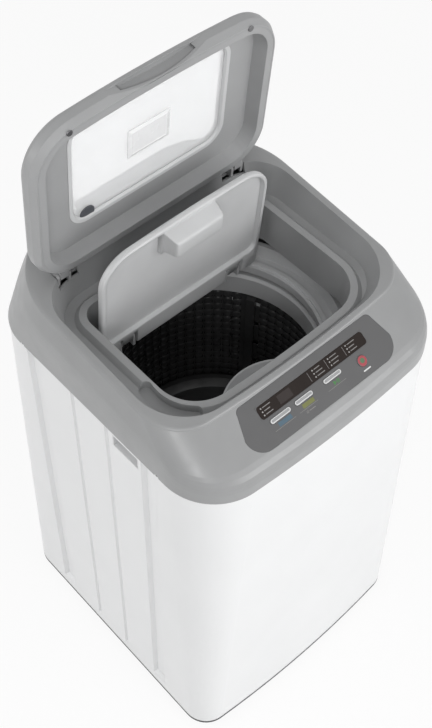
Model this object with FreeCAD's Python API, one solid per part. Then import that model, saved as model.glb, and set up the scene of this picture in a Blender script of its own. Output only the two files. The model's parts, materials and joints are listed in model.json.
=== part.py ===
import FreeCAD, Part
import math
import os
from FreeCAD import Placement, Rotation, Vector

# Portable top-loading washing machine, in millimetres.
# +Z is up, the front with the control panel looks along -Y, and the origin is on the floor
# under the middle of the cabinet. It is drawn as it stands with both lids open.

# Cabinet
body_width = 425.0
body_depth = 454.0
bow_radius = 1930.0
corner_bottom = 40.0
corner_top = 79.0
cabinet_height = 652.0
sheet = 1.0
foot_height = 8.0
skirt_height = 6.0

# Pressed grooves of the side walls
groove_middle_y = 5.0
groove_wide = 28.0
groove_wide_reach = 116.0
groove_wide_depth = 6.0
groove_thin = 7.0
groove_thin_reach = 34.5
groove_thin_depth = 3.5
groove_foot = 21.0
groove_draft = 0.6

# Hand grips in the side walls
grip_length = 46.0
grip_height = 20.0
grip_depth = 22.0
grip_middle_y = -67.0
grip_drop = 17.0
grip_wall = 1.6
grip_flange = 3.0

# Base and feet
base_wall = 3.0
base_upstand = 17.0
base_inset = 0.6
base_corner_gap = 2.0
base_floor = 3.0
base_opening = 210.0
base_opening_corner = 30.0
rib_height = 16.0
foot_pad_radius = 17.0
foot_pad_height = 7.0
foot_stud_radius = 4.0
foot_stud_length = 26.0
foot_boss_radius = 15.0
foot_inset = 52.0

# Back panel
back_opening_width = 250.0
back_opening_low = 46.0
back_opening_high = 585.0
back_margin = 11.0
back_sheet = 1.0
back_rib_width = 26.0
back_rib_depth = 3.0
back_rib_count = 3
back_screw_rows = 4
back_screw_height = 0.9

# Top cover
cover_wall = 3.0
cover_overhang = 1.0
shoulder_rise = 29.8
shoulder_tilt = 6.0
shoulder_corner_rear = 130.0
shoulder_start = 0.55
shoulder_end = 0.2
rim_rise = 93.6
rim_inset_side = 7.5
rim_inset_rear = 13.0
panel_run = 69.4
rim_corner_front = 60.0
rim_corner_rear = 125.0
deck_slope = 5.0
deck_thick = 6.0
ridge_side = 11.5
ridge_front = 8.5
ridge_round = 3.0
ridge_round_side = 6.0
well_floor_drop = 37.6
well_side_draft = 12.5
well_front_draft = 15.0
well_rear_inset = 97.0
well_rear_draft = 8.0
well_corner_front = 75.5
well_corner_rear = 60.0
throat_side_inset = 40.5
throat_front_inset = 23.1
throat_rear_inset = 38.0
throat_corner_front = 58.0
throat_corner_rear = 24.0
throat_skirt_drop = 4.0
lip_height = 8.0
lip_foot = 16.0
lip_top = 10.0
trough_inner = 5.0
trough_width = 17.0
trough_depth = 13.0
trough_start = 168.0
trough_end = 228.0
notch_radius = 4.0
notch_depth = 1.6
notch_screw_radius = 2.0
notch_screw_height = 1.12
notch_screw_rise = 2.2
notch_y = (143.0, -128.0)

# Control panel, in its own slope: along the panel from its top edge
fascia_thick = 2.2
fascia_top_half = 113.0
fascia_half = 124.0
fascia_length = 65.0
fascia_corner = 26.0
fascia_round = 8.0
strip_half = 90.0
strip_from = 13.0
strip_height = 17.5
strip_thick = 1.0
strip_corner = 2.0
key_row = 38.0
key_width = 6.4
key_spans = ((-83.0, -50.5), (-42.5, -13.5), (6.0, 35.5))
power_x = 68.8
power_row = 45.0
power_radius = 7.2
key_proud = 0.9
key_gap = 0.35
key_flange = 1.3
key_flange_thick = 0.8
board_half = 96.0
board_from = 8.0
board_length = 48.0
board_depth = 14.0
board_post_radius = 4.0
board_drop = 3.2

# Outer lid, closed on the deck
lid_gap = 4.5
lid_rear_gap = 8.0
lid_front_gap = 10.0
lid_corner_front = 66.0
lid_corner_rear = 58.0
lid_skirt = 12.0
lid_skirt_draft = 5.0
lid_crown = 16.5
lid_skin = 2.5
flange_side = 13.0
flange_front = 18.0
flange_rear = 16.0
recess_draft = 6.0
recess_corner = 44.0
liner_floor = 7.0
liner_thick = 2.5
window_inset = 71.0
window_front_v = -100.0
window_rear_v = 61.0
window_corner = 22.0
window_margin = 8.0
pane_thick = 4.0
gasket_proud = 0.6
gasket_bevel = 2.5
fit_gap = 0.15
hinge_lead = 0.5
hinge_w = -2.0
lid_open_angle = 90.0
scallop_half = 82.0
scallop_depth = 6.0
bumper_radius = 13.0
bumper_thick = 2.5
bumper_inset = 21.0
bumper_rear = 3.0
lid_screw_inset = 53.0
screw_head_radius = 4.0
screw_head_height = 1.6

# Lid hinges
arm_inset = 41.0
arm_width = 12.0
arm_round = 6.5
hinge_pin_radius = 3.0
running_gap = 0.05
slot_inner_reach = 24.0
slot_outer_reach = 11.5
slot_depth = 16.0
slot_height = 20.0
slot_end = 14.0
slot_lead = 6.0
ear_thick = 4.0
ear_gap = 0.6
ear_reach = 13.0
ear_radius = 5.5
bracket_floor = 4.0

# Tub, hung from the cabinet's top
tub_drop = 46.0
tub_room = 44.5
tub_wall = 3.0
tub_depth = 308.0
tub_flange = 11.0
tub_flange_thick = 4.0
tub_rib_count = 12
ring_plate = 4.0
ring_inset = 22.0
ring_chord_gap = 4.0
ring_lip = 9.0
ring_lip_thick = 3.0
dish_radius = 82.0
dish_lead = 6.0
dish_rise = 1.0
dish_depth = 7.5
dish_wall = 2.5
dish_draft = 8.0
ring_step = 3.0
ring_rim_width = 7.0
ring_rim_height = 20.0

# Inner lid, on the tub cover
inner_gap = 13.0
inner_axis_inset = 14.0
inner_axis_rise = 16.0
inner_front_gap = 6.0
inner_tail = 12.0
inner_thick = 10.0
inner_below = 9.0
inner_corner_front = 48.0
inner_corner_rear = 14.0
inner_open_angle = 85.0
pocket_half = 41.0
pocket_length = 34.0
pocket_edge = 8.0
pocket_depth = 23.0
pocket_draft = 5.0
pocket_wall = 2.2
knuckle_x = 95.0
knuckle_width = 18.0
knuckle_radius = 6.0
knuckle_notch = 32.0
knuckle_notch_reach = 16.0
inner_ear_thick = 4.0
inner_pin_radius = 2.5

# Basket, balance ring and pulsator
basket_room = 19.5
basket_wall = 2.0
basket_floor_rise = 29.0
basket_floor_thick = 4.0
basket_top_drop = 57.0
column_count = 3
column_turn = 27.0
column_width = 14.0
column_depth = 6.0
column_top = 8.0
hole_rows = 5
hole_columns = 24
hole_size = 9.0
hole_rise = 22.0
hole_pitch = 45.0
balance_room = 8.0
balance_lip = 3.0
balance_over = 37.0
balance_under = 32.0
hub_radius = 62.0
hub_thick = 9.0
spin_tube_radius = 14.0
shaft_radius = 9.0
pulsator_room = 7.5
pulsator_gap = 4.0
pulsator_thick = 6.0
pulsator_dome = 26.0
vane_count = 4
vane_height = 26.0
vane_width = 16.0
vane_root = 20.0
vane_middle = 80.0
vane_end = 14.0
vane_bend = 14.0
vane_sweep = 42.0

# Drive under the tub
housing_radius = 42.0
housing_flange_radius = 62.0
housing_flange_thick = 8.0
housing_length = 74.0
bearing_radius = 26.0
bearing_height = 14.0
seal_height = 6.0
clutch_radius = 34.0
clutch_height = 11.0
clutch_gap = 0.5
pulley_drop = 16.0
pulley_height = 16.0
driven_pulley_radius = 62.0
motor_pulley_radius = 23.0
pulley_groove_depth = 7.0
pulley_groove_height = 9.0
belt_gap = 0.4
belt_side_gap = 1.6
motor_y = 120.0
motor_radius = 50.0
motor_height = 76.0
motor_plate_thick = 4.0
motor_shaft_radius = 6.0
motor_fin_count = 16

# Suspension
rod_inset = 10.0
rod_radius = 4.0
rod_length = 334.0
rod_cap_radius = 15.5
rod_cap_height = 5.0
hanger_drop = 26.0
hanger_thick = 3.0
hanger_reach = 42.0
ball_radius = 10.0
cup_radius = 19.0
cup_bore = 16.2
cup_length = 66.0
lug_thick = 12.0
lug_width = 30.0
spring_outer = 13.0
spring_inner = 6.0
suspension_gap = 0.3

# Water and electrics
inlet_x = -92.0
inlet_rise = 44.0
inlet_thread_radius = 13.2
inlet_thread_length = 15.0
recess_half = 24.0
recess_depth = 24.0
inlet_collar_radius = 16.5
inlet_bore = 8.0
valve_width = 44.0
valve_depth = 30.0
valve_height = 36.0
coil_radius = 15.0
coil_length = 30.0
duct_width = 52.0
duct_height = 16.0
duct_wall = 2.0
duct_drop = 4.0
duct_gap = 0.3
pump_x = -40.0
pump_inset = 67.0
pump_radius = 34.0
pump_height = 38.0
pump_stand = 34.0
pump_motor_radius = 24.0
pump_motor_height = 42.0
spigot_radius = 10.5
spigot_bore = 8.0
spigot_collar = 2.5
spigot_root = 2.0
spigot_short = 1.0
hose_hole_radius = 19.0
pump_inlet = 26.0
pump_inlet_radius = 12.0
outlet_x = -105.0
outlet_y = 40.0
outlet_radius = 17.0
outlet_length = 36.0
outlet_wall = 5.0
outlet_arm = 40.0
capacitor_x = 60.0
capacitor_inset = 77.0
capacitor_radius = 20.0
capacitor_height = 66.0
sensor_x = 70.0
sensor_inset = 42.0
sensor_radius = 21.0
sensor_height = 22.0
switch_x = 100.0
switch_inset = 52.0
switch_length = 26.0
switch_width = 12.0
switch_height = 18.0
gland_x = 100.0
gland_drop = 40.0
gland_radius = 9.0
gland_bore = 4.0
gland_flange = 13.0
gland_length = 14.0
gland_proud = 0.9
gland_nut = 5.0

# Levels and outlines worked out from the sizes above
half = body_width / 2
front = -body_depth / 2
rear = body_depth / 2
base_z = foot_height
cabinet_z = foot_height + skirt_height
seam_z = cabinet_z + cabinet_height
rim_z = seam_z + rim_rise
deck = Placement(Vector(0, 0, rim_z), Rotation(Vector(1, 0, 0), deck_slope))
rim_half = half - rim_inset_side
rim_front = front + panel_run
rim_rear = rear - rim_inset_rear
well_z = rim_z - well_floor_drop
well_half = rim_half - ridge_side
well_front = rim_front + ridge_front
well_rear_v = rear - well_rear_inset
throat_half = well_half - throat_side_inset
throat_front = -well_front - throat_front_inset
throat_rear = well_rear_v - throat_rear_inset
inner_axis_y = throat_rear - inner_axis_inset
inner_reach = inner_axis_y + throat_front - inner_front_gap
ring_chord_y = inner_axis_y + ring_chord_gap
dish_y = -throat_front - dish_lead
lid_half = well_half - lid_gap
lid_front = well_front + lid_front_gap
lid_rear_v = well_rear_v - lid_rear_gap
hinge_v = well_rear_v - hinge_lead
arm_middle_x = lid_half - arm_inset
slot_inner_x = arm_middle_x - slot_inner_reach
slot_outer_x = arm_middle_x + slot_outer_reach
window_half = lid_half - window_inset
bumper_x = -window_half + bumper_inset
lid_screw_x = lid_half - lid_screw_inset
sensor_v = rear - sensor_inset
switch_v = rear - switch_inset
pump_y = rear - pump_inset
capacitor_y = rear - capacitor_inset
tub_radius = half - tub_room
rod_x = tub_radius - rod_inset
rod_y = tub_radius - rod_inset
ring_opening = tub_radius - ring_inset
basket_radius = tub_radius - basket_room
balance_outer = tub_radius - balance_room
balance_inner = basket_radius - balance_lip
pulsator_radius = basket_radius - pulsator_room
tub_top = seam_z - tub_drop
tub_floor = tub_top - tub_depth
ring_z = tub_top + ring_plate
inner_axis_z = ring_z + inner_axis_rise
basket_floor = tub_floor + basket_floor_rise
basket_top = tub_top - basket_top_drop
hub_z = basket_floor - basket_floor_thick - hub_thick
housing_top = tub_floor - tub_wall
housing_z = housing_top - housing_length
pulley_z = housing_z - pulley_drop - pulley_height
motor_top = housing_top - motor_plate_thick
motor_z = motor_top - motor_height
belt_z = pulley_z + pulley_height / 2
hanger_z = seam_z - hanger_drop
rod_low = hanger_z - rod_length
lug_z = rod_low + cup_length
shoulder_z = seam_z + shoulder_rise - front * math.tan(math.radians(shoulder_tilt))


def polar(radius, degrees, z=0.0):
    a = math.radians(degrees)
    return Vector(radius * math.cos(a), radius * math.sin(a), z)


def placed(shape, placement):
    moved = shape.copy()
    moved.Placement = placement.multiply(moved.Placement)
    return moved


def mirror_x(shape):
    return shape.mirror(Vector(0, 0, 0), Vector(1, 0, 0))


def both_sides(shape):
    return [shape, mirror_x(shape)]


def cylinder(radius, z0, z1, x=0.0, y=0.0):
    return Part.makeCylinder(radius, z1 - z0, Vector(x, y, z0))


def along_y(radius, y0, y1, x, z):
    return Part.makeCylinder(radius, y1 - y0, Vector(x, y0, z), Vector(0, 1, 0))


def along_x(radius, x0, x1, y, z):
    return Part.makeCylinder(radius, x1 - x0, Vector(x0, y, z), Vector(1, 0, 0))


def tube(outer, inner, z0, z1, x=0.0, y=0.0):
    return cylinder(outer, z0, z1, x, y).cut(cylinder(inner, z0, z1, x, y))


def box(x0, x1, y0, y1, z0, z1):
    return Part.makeBox(x1 - x0, y1 - y0, z1 - z0, Vector(x0, y0, z0))


def polygon(points):
    return Part.Wire(Part.makePolygon(list(points) + [points[0]]))


def extruded(wire, direction):
    return Part.Face(wire).extrude(direction)


def loft(wires):
    return Part.makeLoft(wires, True, True)


def fuse_all(shapes):
    return shapes[0].multiFuse(shapes[1:]).removeSplitter() if len(shapes) > 1 else shapes[0]


def revolved(points):
    """Solid of revolution about Z of a closed profile given as (radius, height) pairs."""
    wire = polygon([Vector(r, 0, z) for r, z in points])
    return Part.Face(wire).revolve(Vector(0, 0, 0), Vector(0, 0, 1), 360)


def outline(x_half, y_front, y_rear, r_front, r_rear, bow=bow_radius):
    """Rounded outline whose front edge is a shallow arc that runs smoothly into its corners."""
    arc_y = y_front + bow
    reach = bow - r_front
    cx = x_half - r_front
    cy = arc_y - math.sqrt(reach ** 2 - cx ** 2)
    tx = cx * bow / reach
    ty = arc_y + (cy - arc_y) * bow / reach
    middle = math.atan2(ty - cy, tx - cx) / 2
    mx = cx + r_front * math.cos(middle)
    my = cy + r_front * math.sin(middle)
    rx = x_half - r_rear
    ry = y_rear - r_rear
    d = r_rear * math.sqrt(0.5)
    v = Vector
    edges = [
        Part.LineSegment(v(-x_half, ry, 0), v(-x_half, cy, 0)),
        Part.Arc(v(-x_half, cy, 0), v(-mx, my, 0), v(-tx, ty, 0)),
        Part.Arc(v(-tx, ty, 0), v(0, y_front, 0), v(tx, ty, 0)),
        Part.Arc(v(tx, ty, 0), v(mx, my, 0), v(x_half, cy, 0)),
        Part.LineSegment(v(x_half, cy, 0), v(x_half, ry, 0)),
        Part.Arc(v(x_half, ry, 0), v(rx + d, ry + d, 0), v(rx, y_rear, 0)),
        Part.LineSegment(v(rx, y_rear, 0), v(-rx, y_rear, 0)),
        Part.Arc(v(-rx, y_rear, 0), v(-rx - d, ry + d, 0), v(-x_half, ry, 0)),
    ]
    return Part.Wire([e.toShape() for e in edges])


def level(wire, z, tilt=0.0):
    return placed(wire, Placement(Vector(0, 0, z), Rotation(Vector(1, 0, 0), tilt)))


def on_deck(wire, w):
    return placed(wire, deck.multiply(Placement(Vector(0, 0, w), Rotation())))


def prism(wire, z0, z1):
    return extruded(level(wire, z0), Vector(0, 0, z1 - z0))


def rounded_bar(length, width, thick):
    """Flat bar with round ends, along X, centred on the origin and standing on z = 0."""
    r = width / 2
    run = length / 2 - r
    if run < 0.01:
        return cylinder(r, 0, thick)
    ends = [cylinder(r, 0, thick, s * run, 0) for s in (-1, 1)]
    return fuse_all([box(-run, run, -r, r, 0, thick)] + ends)


# Cabinet: a wrapped sheet whose corners open out upwards

def cabinet_outline(corner, inset):
    return outline(half - inset, front + inset, rear - inset, corner - inset, corner - inset)


def cabinet_loft(inset, z0=cabinet_z, z1=seam_z):
    def corner(z):
        return corner_bottom + (corner_top - corner_bottom) * (z - cabinet_z) / cabinet_height
    return loft([level(cabinet_outline(corner(z), inset), z) for z in (z0, z1)])


def groove(y, width, depth, grow):
    """Pocket with sloping sides and foot in the left wall, open at the top."""
    low = cabinet_z + groove_foot
    high = seam_z + depth
    slope = depth * groove_draft

    def face(x, w, z):
        return polygon([Vector(x, y - w, z), Vector(x, y + w, z), Vector(x, y + w, high),
                        Vector(x, y - w, high)])
    w = width / 2 + grow
    lead = 1.0
    mouth = face(-half - lead, w + lead * groove_draft, low - grow - lead)
    floor = face(-half + depth + grow, w - slope, low - grow + depth)
    return loft([mouth, floor])


def grooves(grow):
    left = []
    for side in (-1, 1):
        wide_y = groove_middle_y + side * groove_wide_reach
        thin_y = groove_middle_y + side * groove_thin_reach
        left.append(groove(wide_y, groove_wide, groove_wide_depth, grow))
        left.append(groove(thin_y, groove_thin, groove_thin_depth, grow))
    return left + [mirror_x(g) for g in left]


def grip_box(grow, x_out, x_in):
    z = seam_z - grip_drop
    return box(x_out, x_in, grip_middle_y - grip_length / 2 - grow, grip_middle_y + grip_length / 2 + grow,
               z - grip_height / 2 - grow, z + grip_height / 2 + grow)


def make_cabinet():
    cavity = cabinet_loft(sheet).cut(Part.makeCompound(grooves(sheet)))
    shell = cabinet_loft(0).cut(Part.makeCompound(grooves(0))).cut(cavity)
    for hole in both_sides(grip_box(grip_wall + fit_gap, -half - sheet, -half + 2 * sheet)):
        shell = shell.cut(hole)
    shell = shell.cut(box(-back_opening_width / 2, back_opening_width / 2, rear - 2 * sheet, rear + sheet,
                          back_opening_low, back_opening_high))
    return shell


def make_grips():
    outer = grip_box(grip_wall, -half, -half + grip_depth)
    flange = grip_box(grip_wall + grip_flange, -half + sheet, -half + sheet + grip_wall)
    hollow = grip_box(0, -half - sheet, -half + grip_depth - grip_wall)
    cup = outer.fuse(flange).cut(hollow).removeSplitter()
    return both_sides(cup)


# Base: a moulded tray inside the cabinet's foot, on four feet

def foot_places():
    return [(sx * (half - foot_inset), sy * (rear - foot_inset)) for sx in (-1, 1) for sy in (-1, 1)]


def make_base():
    skirt = prism(cabinet_outline(corner_bottom, 0), base_z, cabinet_z)
    inset = sheet + base_inset
    wall_corner = corner_bottom + base_corner_gap
    top = cabinet_z + base_upstand
    upstand = prism(cabinet_outline(wall_corner, inset), cabinet_z, top)
    hollow = prism(cabinet_outline(wall_corner, inset + base_wall), base_z + base_floor, top)
    tray = skirt.fuse(upstand).cut(hollow)
    rim_top = base_z + rib_height
    r = base_opening_corner
    opening = prism(outline(base_opening / 2, -base_opening / 2, base_opening / 2, r, r), base_z, rim_top)
    ledge = base_opening / 2 + base_wall
    rim = prism(outline(ledge, -ledge, ledge, r + base_wall, r + base_wall), base_z, rim_top)
    pieces = [tray, rim]
    for x, y in foot_places():
        pieces.append(cylinder(foot_boss_radius, base_z, base_z + foot_stud_length, x, y))
        pieces.append(rib_between(Vector(x, y, 0)))
    base = fuse_all(pieces).cut(opening)
    for x, y in foot_places():
        base = base.cut(cylinder(foot_stud_radius + fit_gap, base_z, base_z + foot_stud_length, x, y))
    return base


def rib_between(corner):
    """Rib from a foot boss towards the base's opening."""
    inner = Vector(math.copysign(base_opening / 2, corner.x), math.copysign(base_opening / 2, corner.y), 0)
    run = corner - inner
    bar = box(-base_wall / 2, base_wall / 2, -run.Length, 0, base_z, base_z + rib_height)
    angle = math.degrees(math.atan2(-run.x, run.y)) + 180
    return placed(bar, Placement(inner, Rotation(Vector(0, 0, 1), angle)))


def make_feet():
    feet = []
    for x, y in foot_places():
        pad = cylinder(foot_pad_radius, 0, foot_pad_height, x, y)
        pad = pad.makeChamfer(2.0, [e for e in pad.Edges if e.BoundBox.ZMax < 0.1])
        nut = cylinder(foot_stud_radius * 2, foot_pad_height, base_z, x, y)
        stud = cylinder(foot_stud_radius, foot_pad_height, base_z + foot_stud_length, x, y)
        feet.append(fuse_all([pad, nut, stud]))
    return feet


# Back panel, with pressed ribs

def make_back_panel():
    w = back_opening_width / 2 + back_margin
    low = back_opening_low - back_margin
    high = back_opening_high + back_margin
    face_y = rear - sheet
    plate = box(-w, w, face_y - back_sheet, face_y, low, high)
    run = (high - low) * 0.32
    pitch = back_opening_width / back_rib_count
    for i in range(back_rib_count):
        x = (i - (back_rib_count - 1) / 2) * pitch
        middle = (low + high) / 2

        def face(y, grow):
            r = back_rib_width / 2 + grow
            return polygon([Vector(x - r, y, middle - run + r), Vector(x + r, y, middle - run + r),
                            Vector(x + r, y, middle + run - r), Vector(x - r, y, middle + run - r)])
        d = back_rib_depth
        bump = loft([face(face_y - back_sheet - d, -d), face(face_y - back_sheet, 0)])
        core = loft([face(face_y - d, -d), face(face_y, 0)])
        plate = plate.fuse(bump).cut(core)
    behind = face_y - 2 * back_sheet
    hose_hole = along_y(hose_hole_radius, behind, face_y + sheet, pump_x, spigot_z())
    gland_hole = along_y(gland_radius + fit_gap, behind, face_y + sheet, gland_x, gland_z())
    return plate.cut(hose_hole).cut(gland_hole).removeSplitter()


def make_back_screws():
    screws = []
    w = back_opening_width / 2 + back_margin / 2
    low = back_opening_low
    pitch = (back_opening_high - back_opening_low) / (back_screw_rows - 1)
    for s in (-1, 1):
        for i in range(back_screw_rows):
            screws.append(along_y(screw_head_radius, rear, rear + back_screw_height, s * w, low + i * pitch))
    return screws


# Top cover: a moulded deck with the panel slope, the sunk lid well and the throat

def mix(a, b, t):
    return [p + (q - p) * t for p, q in zip(a, b)]


def cover_section(size):
    x_half, y_front, y_rear, r_front, r_rear, z, tilt = size
    return level(outline(x_half, y_front, y_rear, r_front, r_rear), z, tilt)


def cover_sizes(inset):
    """Foot, straight wall, rounded shoulder, panel slope and rim of the cover, from below upwards."""
    out = cover_overhang - inset
    foot = (half + out, front - out, rear + out, corner_top + out, corner_top + out, seam_z, 0)
    shoulder_front = (front + inset) / math.cos(math.radians(shoulder_tilt))
    shoulder = (half - inset, shoulder_front, rear - inset, corner_top - inset, shoulder_corner_rear - inset,
                shoulder_z - inset, shoulder_tilt)
    low_rim = rim_z - ridge_round - inset
    rim = (rim_half - inset, rim_front + inset, rim_rear - inset, rim_corner_front - inset,
           rim_corner_rear - inset, low_rim, deck_slope)
    low = mix(foot, shoulder, shoulder_start)
    high = mix(shoulder, rim, shoulder_end)
    rounded = [mix(mix(low, shoulder, t), mix(shoulder, high, t), t) for t in (0.25, 0.5, 0.75)]
    return [foot, low] + rounded + [high, rim]


def front_edge(size):
    y_front, z, tilt = size[1], size[-2], size[-1]
    return Placement(Vector(0, 0, z), Rotation(Vector(1, 0, 0), tilt)).multVec(Vector(0, y_front, 0))


def cover_loft(inset):
    sizes = cover_sizes(inset)
    if inset == 0:
        x_half, y_front, y_rear, r_front, r_rear, z, tilt = sizes[-1]
        for degrees in (30, 60, 90):
            a = math.radians(degrees)
            side = ridge_round_side * (1 - math.cos(a))
            step = ridge_round * (1 - math.cos(a))
            sizes.append((x_half - side, y_front + step, y_rear - side, r_front - side, r_rear - side,
                          z + ridge_round * math.sin(a), tilt))
    return loft([cover_section(s) for s in sizes])


# Slope of the control panel, between the rim's front edge and the rounded shoulder
slope_low, slope_top = [front_edge(s) for s in cover_sizes(0)[-2:]]
panel_angle = math.degrees(math.atan2(slope_top.z - slope_low.z, slope_top.y - slope_low.y))
panel = Placement(slope_top, Rotation(Vector(1, 0, 0), panel_angle))


def well_loft(grow):
    """The sunk well inside the ridge, from its level floor up through the sloping deck."""
    floor = outline(well_half - well_side_draft + grow, well_front + well_front_draft - grow,
                    well_rear_v - well_rear_draft + grow, well_corner_front - well_side_draft + grow,
                    well_corner_rear - well_rear_draft + grow)
    mouth = outline(well_half + grow, well_front - grow, well_rear_v + grow, well_corner_front + grow,
                    well_corner_rear + grow)
    return loft([level(floor, well_z - grow), on_deck(mouth, 0.2)])


def throat_outline(grow):
    return outline(throat_half + grow, -throat_front - grow, throat_rear + grow, throat_corner_front + grow,
                   throat_corner_rear + grow)


def trough(grow, z0, z1):
    """Curved trough round the front left corner of the throat."""
    centre = Vector(-throat_half + throat_corner_front, -throat_front + throat_corner_front, 0)
    inner = throat_corner_front + trough_inner - grow
    outer = inner + trough_width + 2 * grow
    ring = tube(outer, inner, z0, z1)
    span = trough_end - trough_start
    wedge = Part.makeCylinder(2 * outer, z1 - z0, Vector(0, 0, z0), Vector(0, 0, 1), span)
    wedge.rotate(Vector(0, 0, 0), Vector(0, 0, 1), trough_start)
    middle = (inner + outer) / 2
    ends = [cylinder(trough_width / 2 + grow, z0, z1, polar(middle, a).x, polar(middle, a).y)
            for a in (trough_start, trough_end)]
    return placed(fuse_all([ring.common(wedge)] + ends), Placement(centre, Rotation()))


def hinge_slot():
    slot = box(-slot_outer_x, -slot_inner_x, lid_rear_v - slot_lead, hinge_v + slot_end,
               hinge_w - slot_depth, slot_height)
    return placed(slot, deck)


def panel_solid(wire, h0, h1):
    """Prism over the panel slope, between two heights above its plane."""
    solid = extruded(level(wire, h0), Vector(0, 0, h1 - h0))
    return placed(solid, panel)


def fascia_outline(grow=0.0):
    top = fascia_top_half + grow
    wide = fascia_half + grow
    low = -fascia_length - grow
    turn = low + fascia_corner + grow
    r = fascia_corner + grow
    d = math.sqrt(0.5)
    t = fascia_round
    v = Vector
    a = v(top - t, grow, 0)
    b = v(top + (wide - top) * t / fascia_length, -t, 0)
    c = v(wide, turn, 0)
    corner_top_mid = v(top - t * 0.25, grow - t * 0.22, 0)
    corner_low_mid = v(wide - r + r * d, turn - r * d, 0)
    foot = v(wide - r, low, 0)

    def flip(p):
        return v(-p.x, p.y, p.z)
    edges = [
        Part.LineSegment(flip(a), a), Part.Arc(a, corner_top_mid, b), Part.LineSegment(b, c),
        Part.Arc(c, corner_low_mid, foot), Part.LineSegment(foot, flip(foot)),
        Part.Arc(flip(foot), flip(corner_low_mid), flip(c)), Part.LineSegment(flip(c), flip(b)),
        Part.Arc(flip(b), flip(corner_top_mid), flip(a)),
    ]
    return Part.Wire([e.toShape() for e in edges])


def strip_outline(grow=0.0):
    r = strip_corner + grow
    y0 = -strip_from - strip_height - grow
    return outline(strip_half + grow, y0, -strip_from + grow, r, r, bow=100000.0)


def sunk(shape, depth):
    """The same shape moved down into the panel slope."""
    return placed(shape, Placement(panel.Rotation.multVec(Vector(0, 0, -depth)), Rotation()))


def panel_drop(x):
    """How far the bowed front falls below the panel's plane at x."""
    return x * x / (2 * bow_radius) * math.sin(math.radians(panel_angle))


def make_cover(outer):
    env = well_loft(cover_wall)
    env = env.fuse(prism(throat_outline(cover_wall), seam_z - throat_skirt_drop, well_z))
    lip_z = well_z + lip_height
    env = env.fuse(trough(cover_wall, lip_z - trough_depth - cover_wall, well_z))
    env = env.fuse(inlet_recess(cover_wall))
    cavity = cover_loft(cover_wall).cut(env)
    lip = loft([level(throat_outline(lip_foot), well_z), level(throat_outline(lip_top), lip_z)])
    void = well_loft(0).cut(lip)
    cover = outer.cut(cavity).cut(void)
    cover = cover.fuse(prism(throat_outline(cover_wall), seam_z - throat_skirt_drop, seam_z + 1))
    cover = cover.cut(prism(throat_outline(0), seam_z - 2 * throat_skirt_drop, rim_z + 2 * ridge_round))
    cover = cover.cut(trough(0, lip_z - trough_depth, lip_z + 1))
    for slot in both_sides(hinge_slot()):
        cover = cover.cut(slot)
    seat = panel_solid(fascia_outline(fit_gap), -30, 30).cut(sunk(outer, fascia_thick + fit_gap))
    cover = cover.cut(seat)
    cover = cover.cut(panel_solid(board_window(), -30, 10))
    cover = cover.cut(inlet_recess(0)).cut(inlet_hole())
    cover = cover.cut(duct_solid(duct_wall + fit_gap, True))
    for y in notch_y:
        for side in (-1, 1):
            x = side * (half + cover_overhang)
            cover = cover.cut(Part.makeCylinder(notch_radius, notch_depth, Vector(x, y, seam_z + 0.2),
                                                Vector(-side, 0, 0)))
    return cover.removeSplitter()


def make_cover_screws():
    screws = []
    for y in notch_y:
        for side in (-1, 1):
            place = Vector(side * (half + cover_overhang - notch_depth), y, seam_z + notch_screw_rise)
            out = Vector(side, 0, 0)
            screws.append(Part.makeCylinder(notch_screw_radius, notch_screw_height, place, out))
    return screws


# Control panel

def board_window():
    return outline(board_half + 6, -board_from - board_length - 4, -board_from + 4, 4, 4, bow=100000.0)


def make_fascia(outer):
    plate = panel_solid(fascia_outline(), -30, 30).common(outer).cut(sunk(outer, fascia_thick))
    plate = plate.cut(panel_solid(strip_outline(fit_gap), -30, 30).cut(sunk(outer, strip_thick + fit_gap)))
    for x, row, length, width in key_list():
        bar = rounded_bar(length + 2 * key_gap, width + 2 * key_gap, 60)
        plate = plate.cut(placed(bar, panel.multiply(Placement(Vector(x, -row, -30), Rotation()))))
    return plate.removeSplitter()


def make_strip(outer):
    return panel_solid(strip_outline(), -30, 30).common(outer).cut(sunk(outer, strip_thick))


def key_list():
    keys = [((a + b) / 2, key_row, b - a, key_width) for a, b in key_spans]
    return keys + [(power_x, power_row, 2 * power_radius, 2 * power_radius)]


def make_key(x, row, length, width):
    """Push key: a pill through the fascia, a flange under it and a post to its switch."""
    reach = abs(x) + length / 2
    under = -fascia_thick - panel_drop(reach) - 0.25
    top = key_proud - panel_drop(x)
    pill = placed(rounded_bar(length, width, top - under), Placement(Vector(0, 0, under), Rotation()))
    pill = pill.makeFillet(0.5, [e for e in pill.Edges if e.BoundBox.ZMin > top - 0.01])
    flange = placed(rounded_bar(length + 2 * key_flange, width + 2 * key_flange, key_flange_thick),
                    Placement(Vector(0, 0, under - key_flange_thick), Rotation()))
    place = panel.multiply(Placement(Vector(x, -row, 0), Rotation()))
    return placed(pill.fuse(flange).removeSplitter(), place)


def board_top():
    return -fascia_thick - panel_drop(board_half) - board_drop


def make_board():
    top = board_top()
    case = panel_solid(outline(board_half, -board_from - board_length, -board_from, 3, 3, bow=100000.0),
                       top - board_depth, top)
    posts = []
    for sx in (-1, 1):
        for row in (board_from + board_post_radius + 1, board_from + board_length - board_post_radius - 1):
            x = sx * (board_half - board_post_radius - 1)
            reach = -fascia_thick - panel_drop(board_half) - 0.2
            posts.append(placed(cylinder(board_post_radius, top - 1, reach, x, -row), panel))
    return fuse_all([case] + posts)


# Outer lid, drawn closed on the deck and then opened about its hinge

def opened(shape):
    closed = placed(shape, deck)
    axis = deck.multVec(Vector(0, hinge_v, hinge_w))
    closed.rotate(axis, Vector(1, 0, 0), -lid_open_angle)
    return closed


def lid_outline(inset):
    return outline(lid_half - inset, lid_front + inset, lid_rear_v - inset, lid_corner_front - inset,
                   lid_corner_rear - inset)


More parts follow.
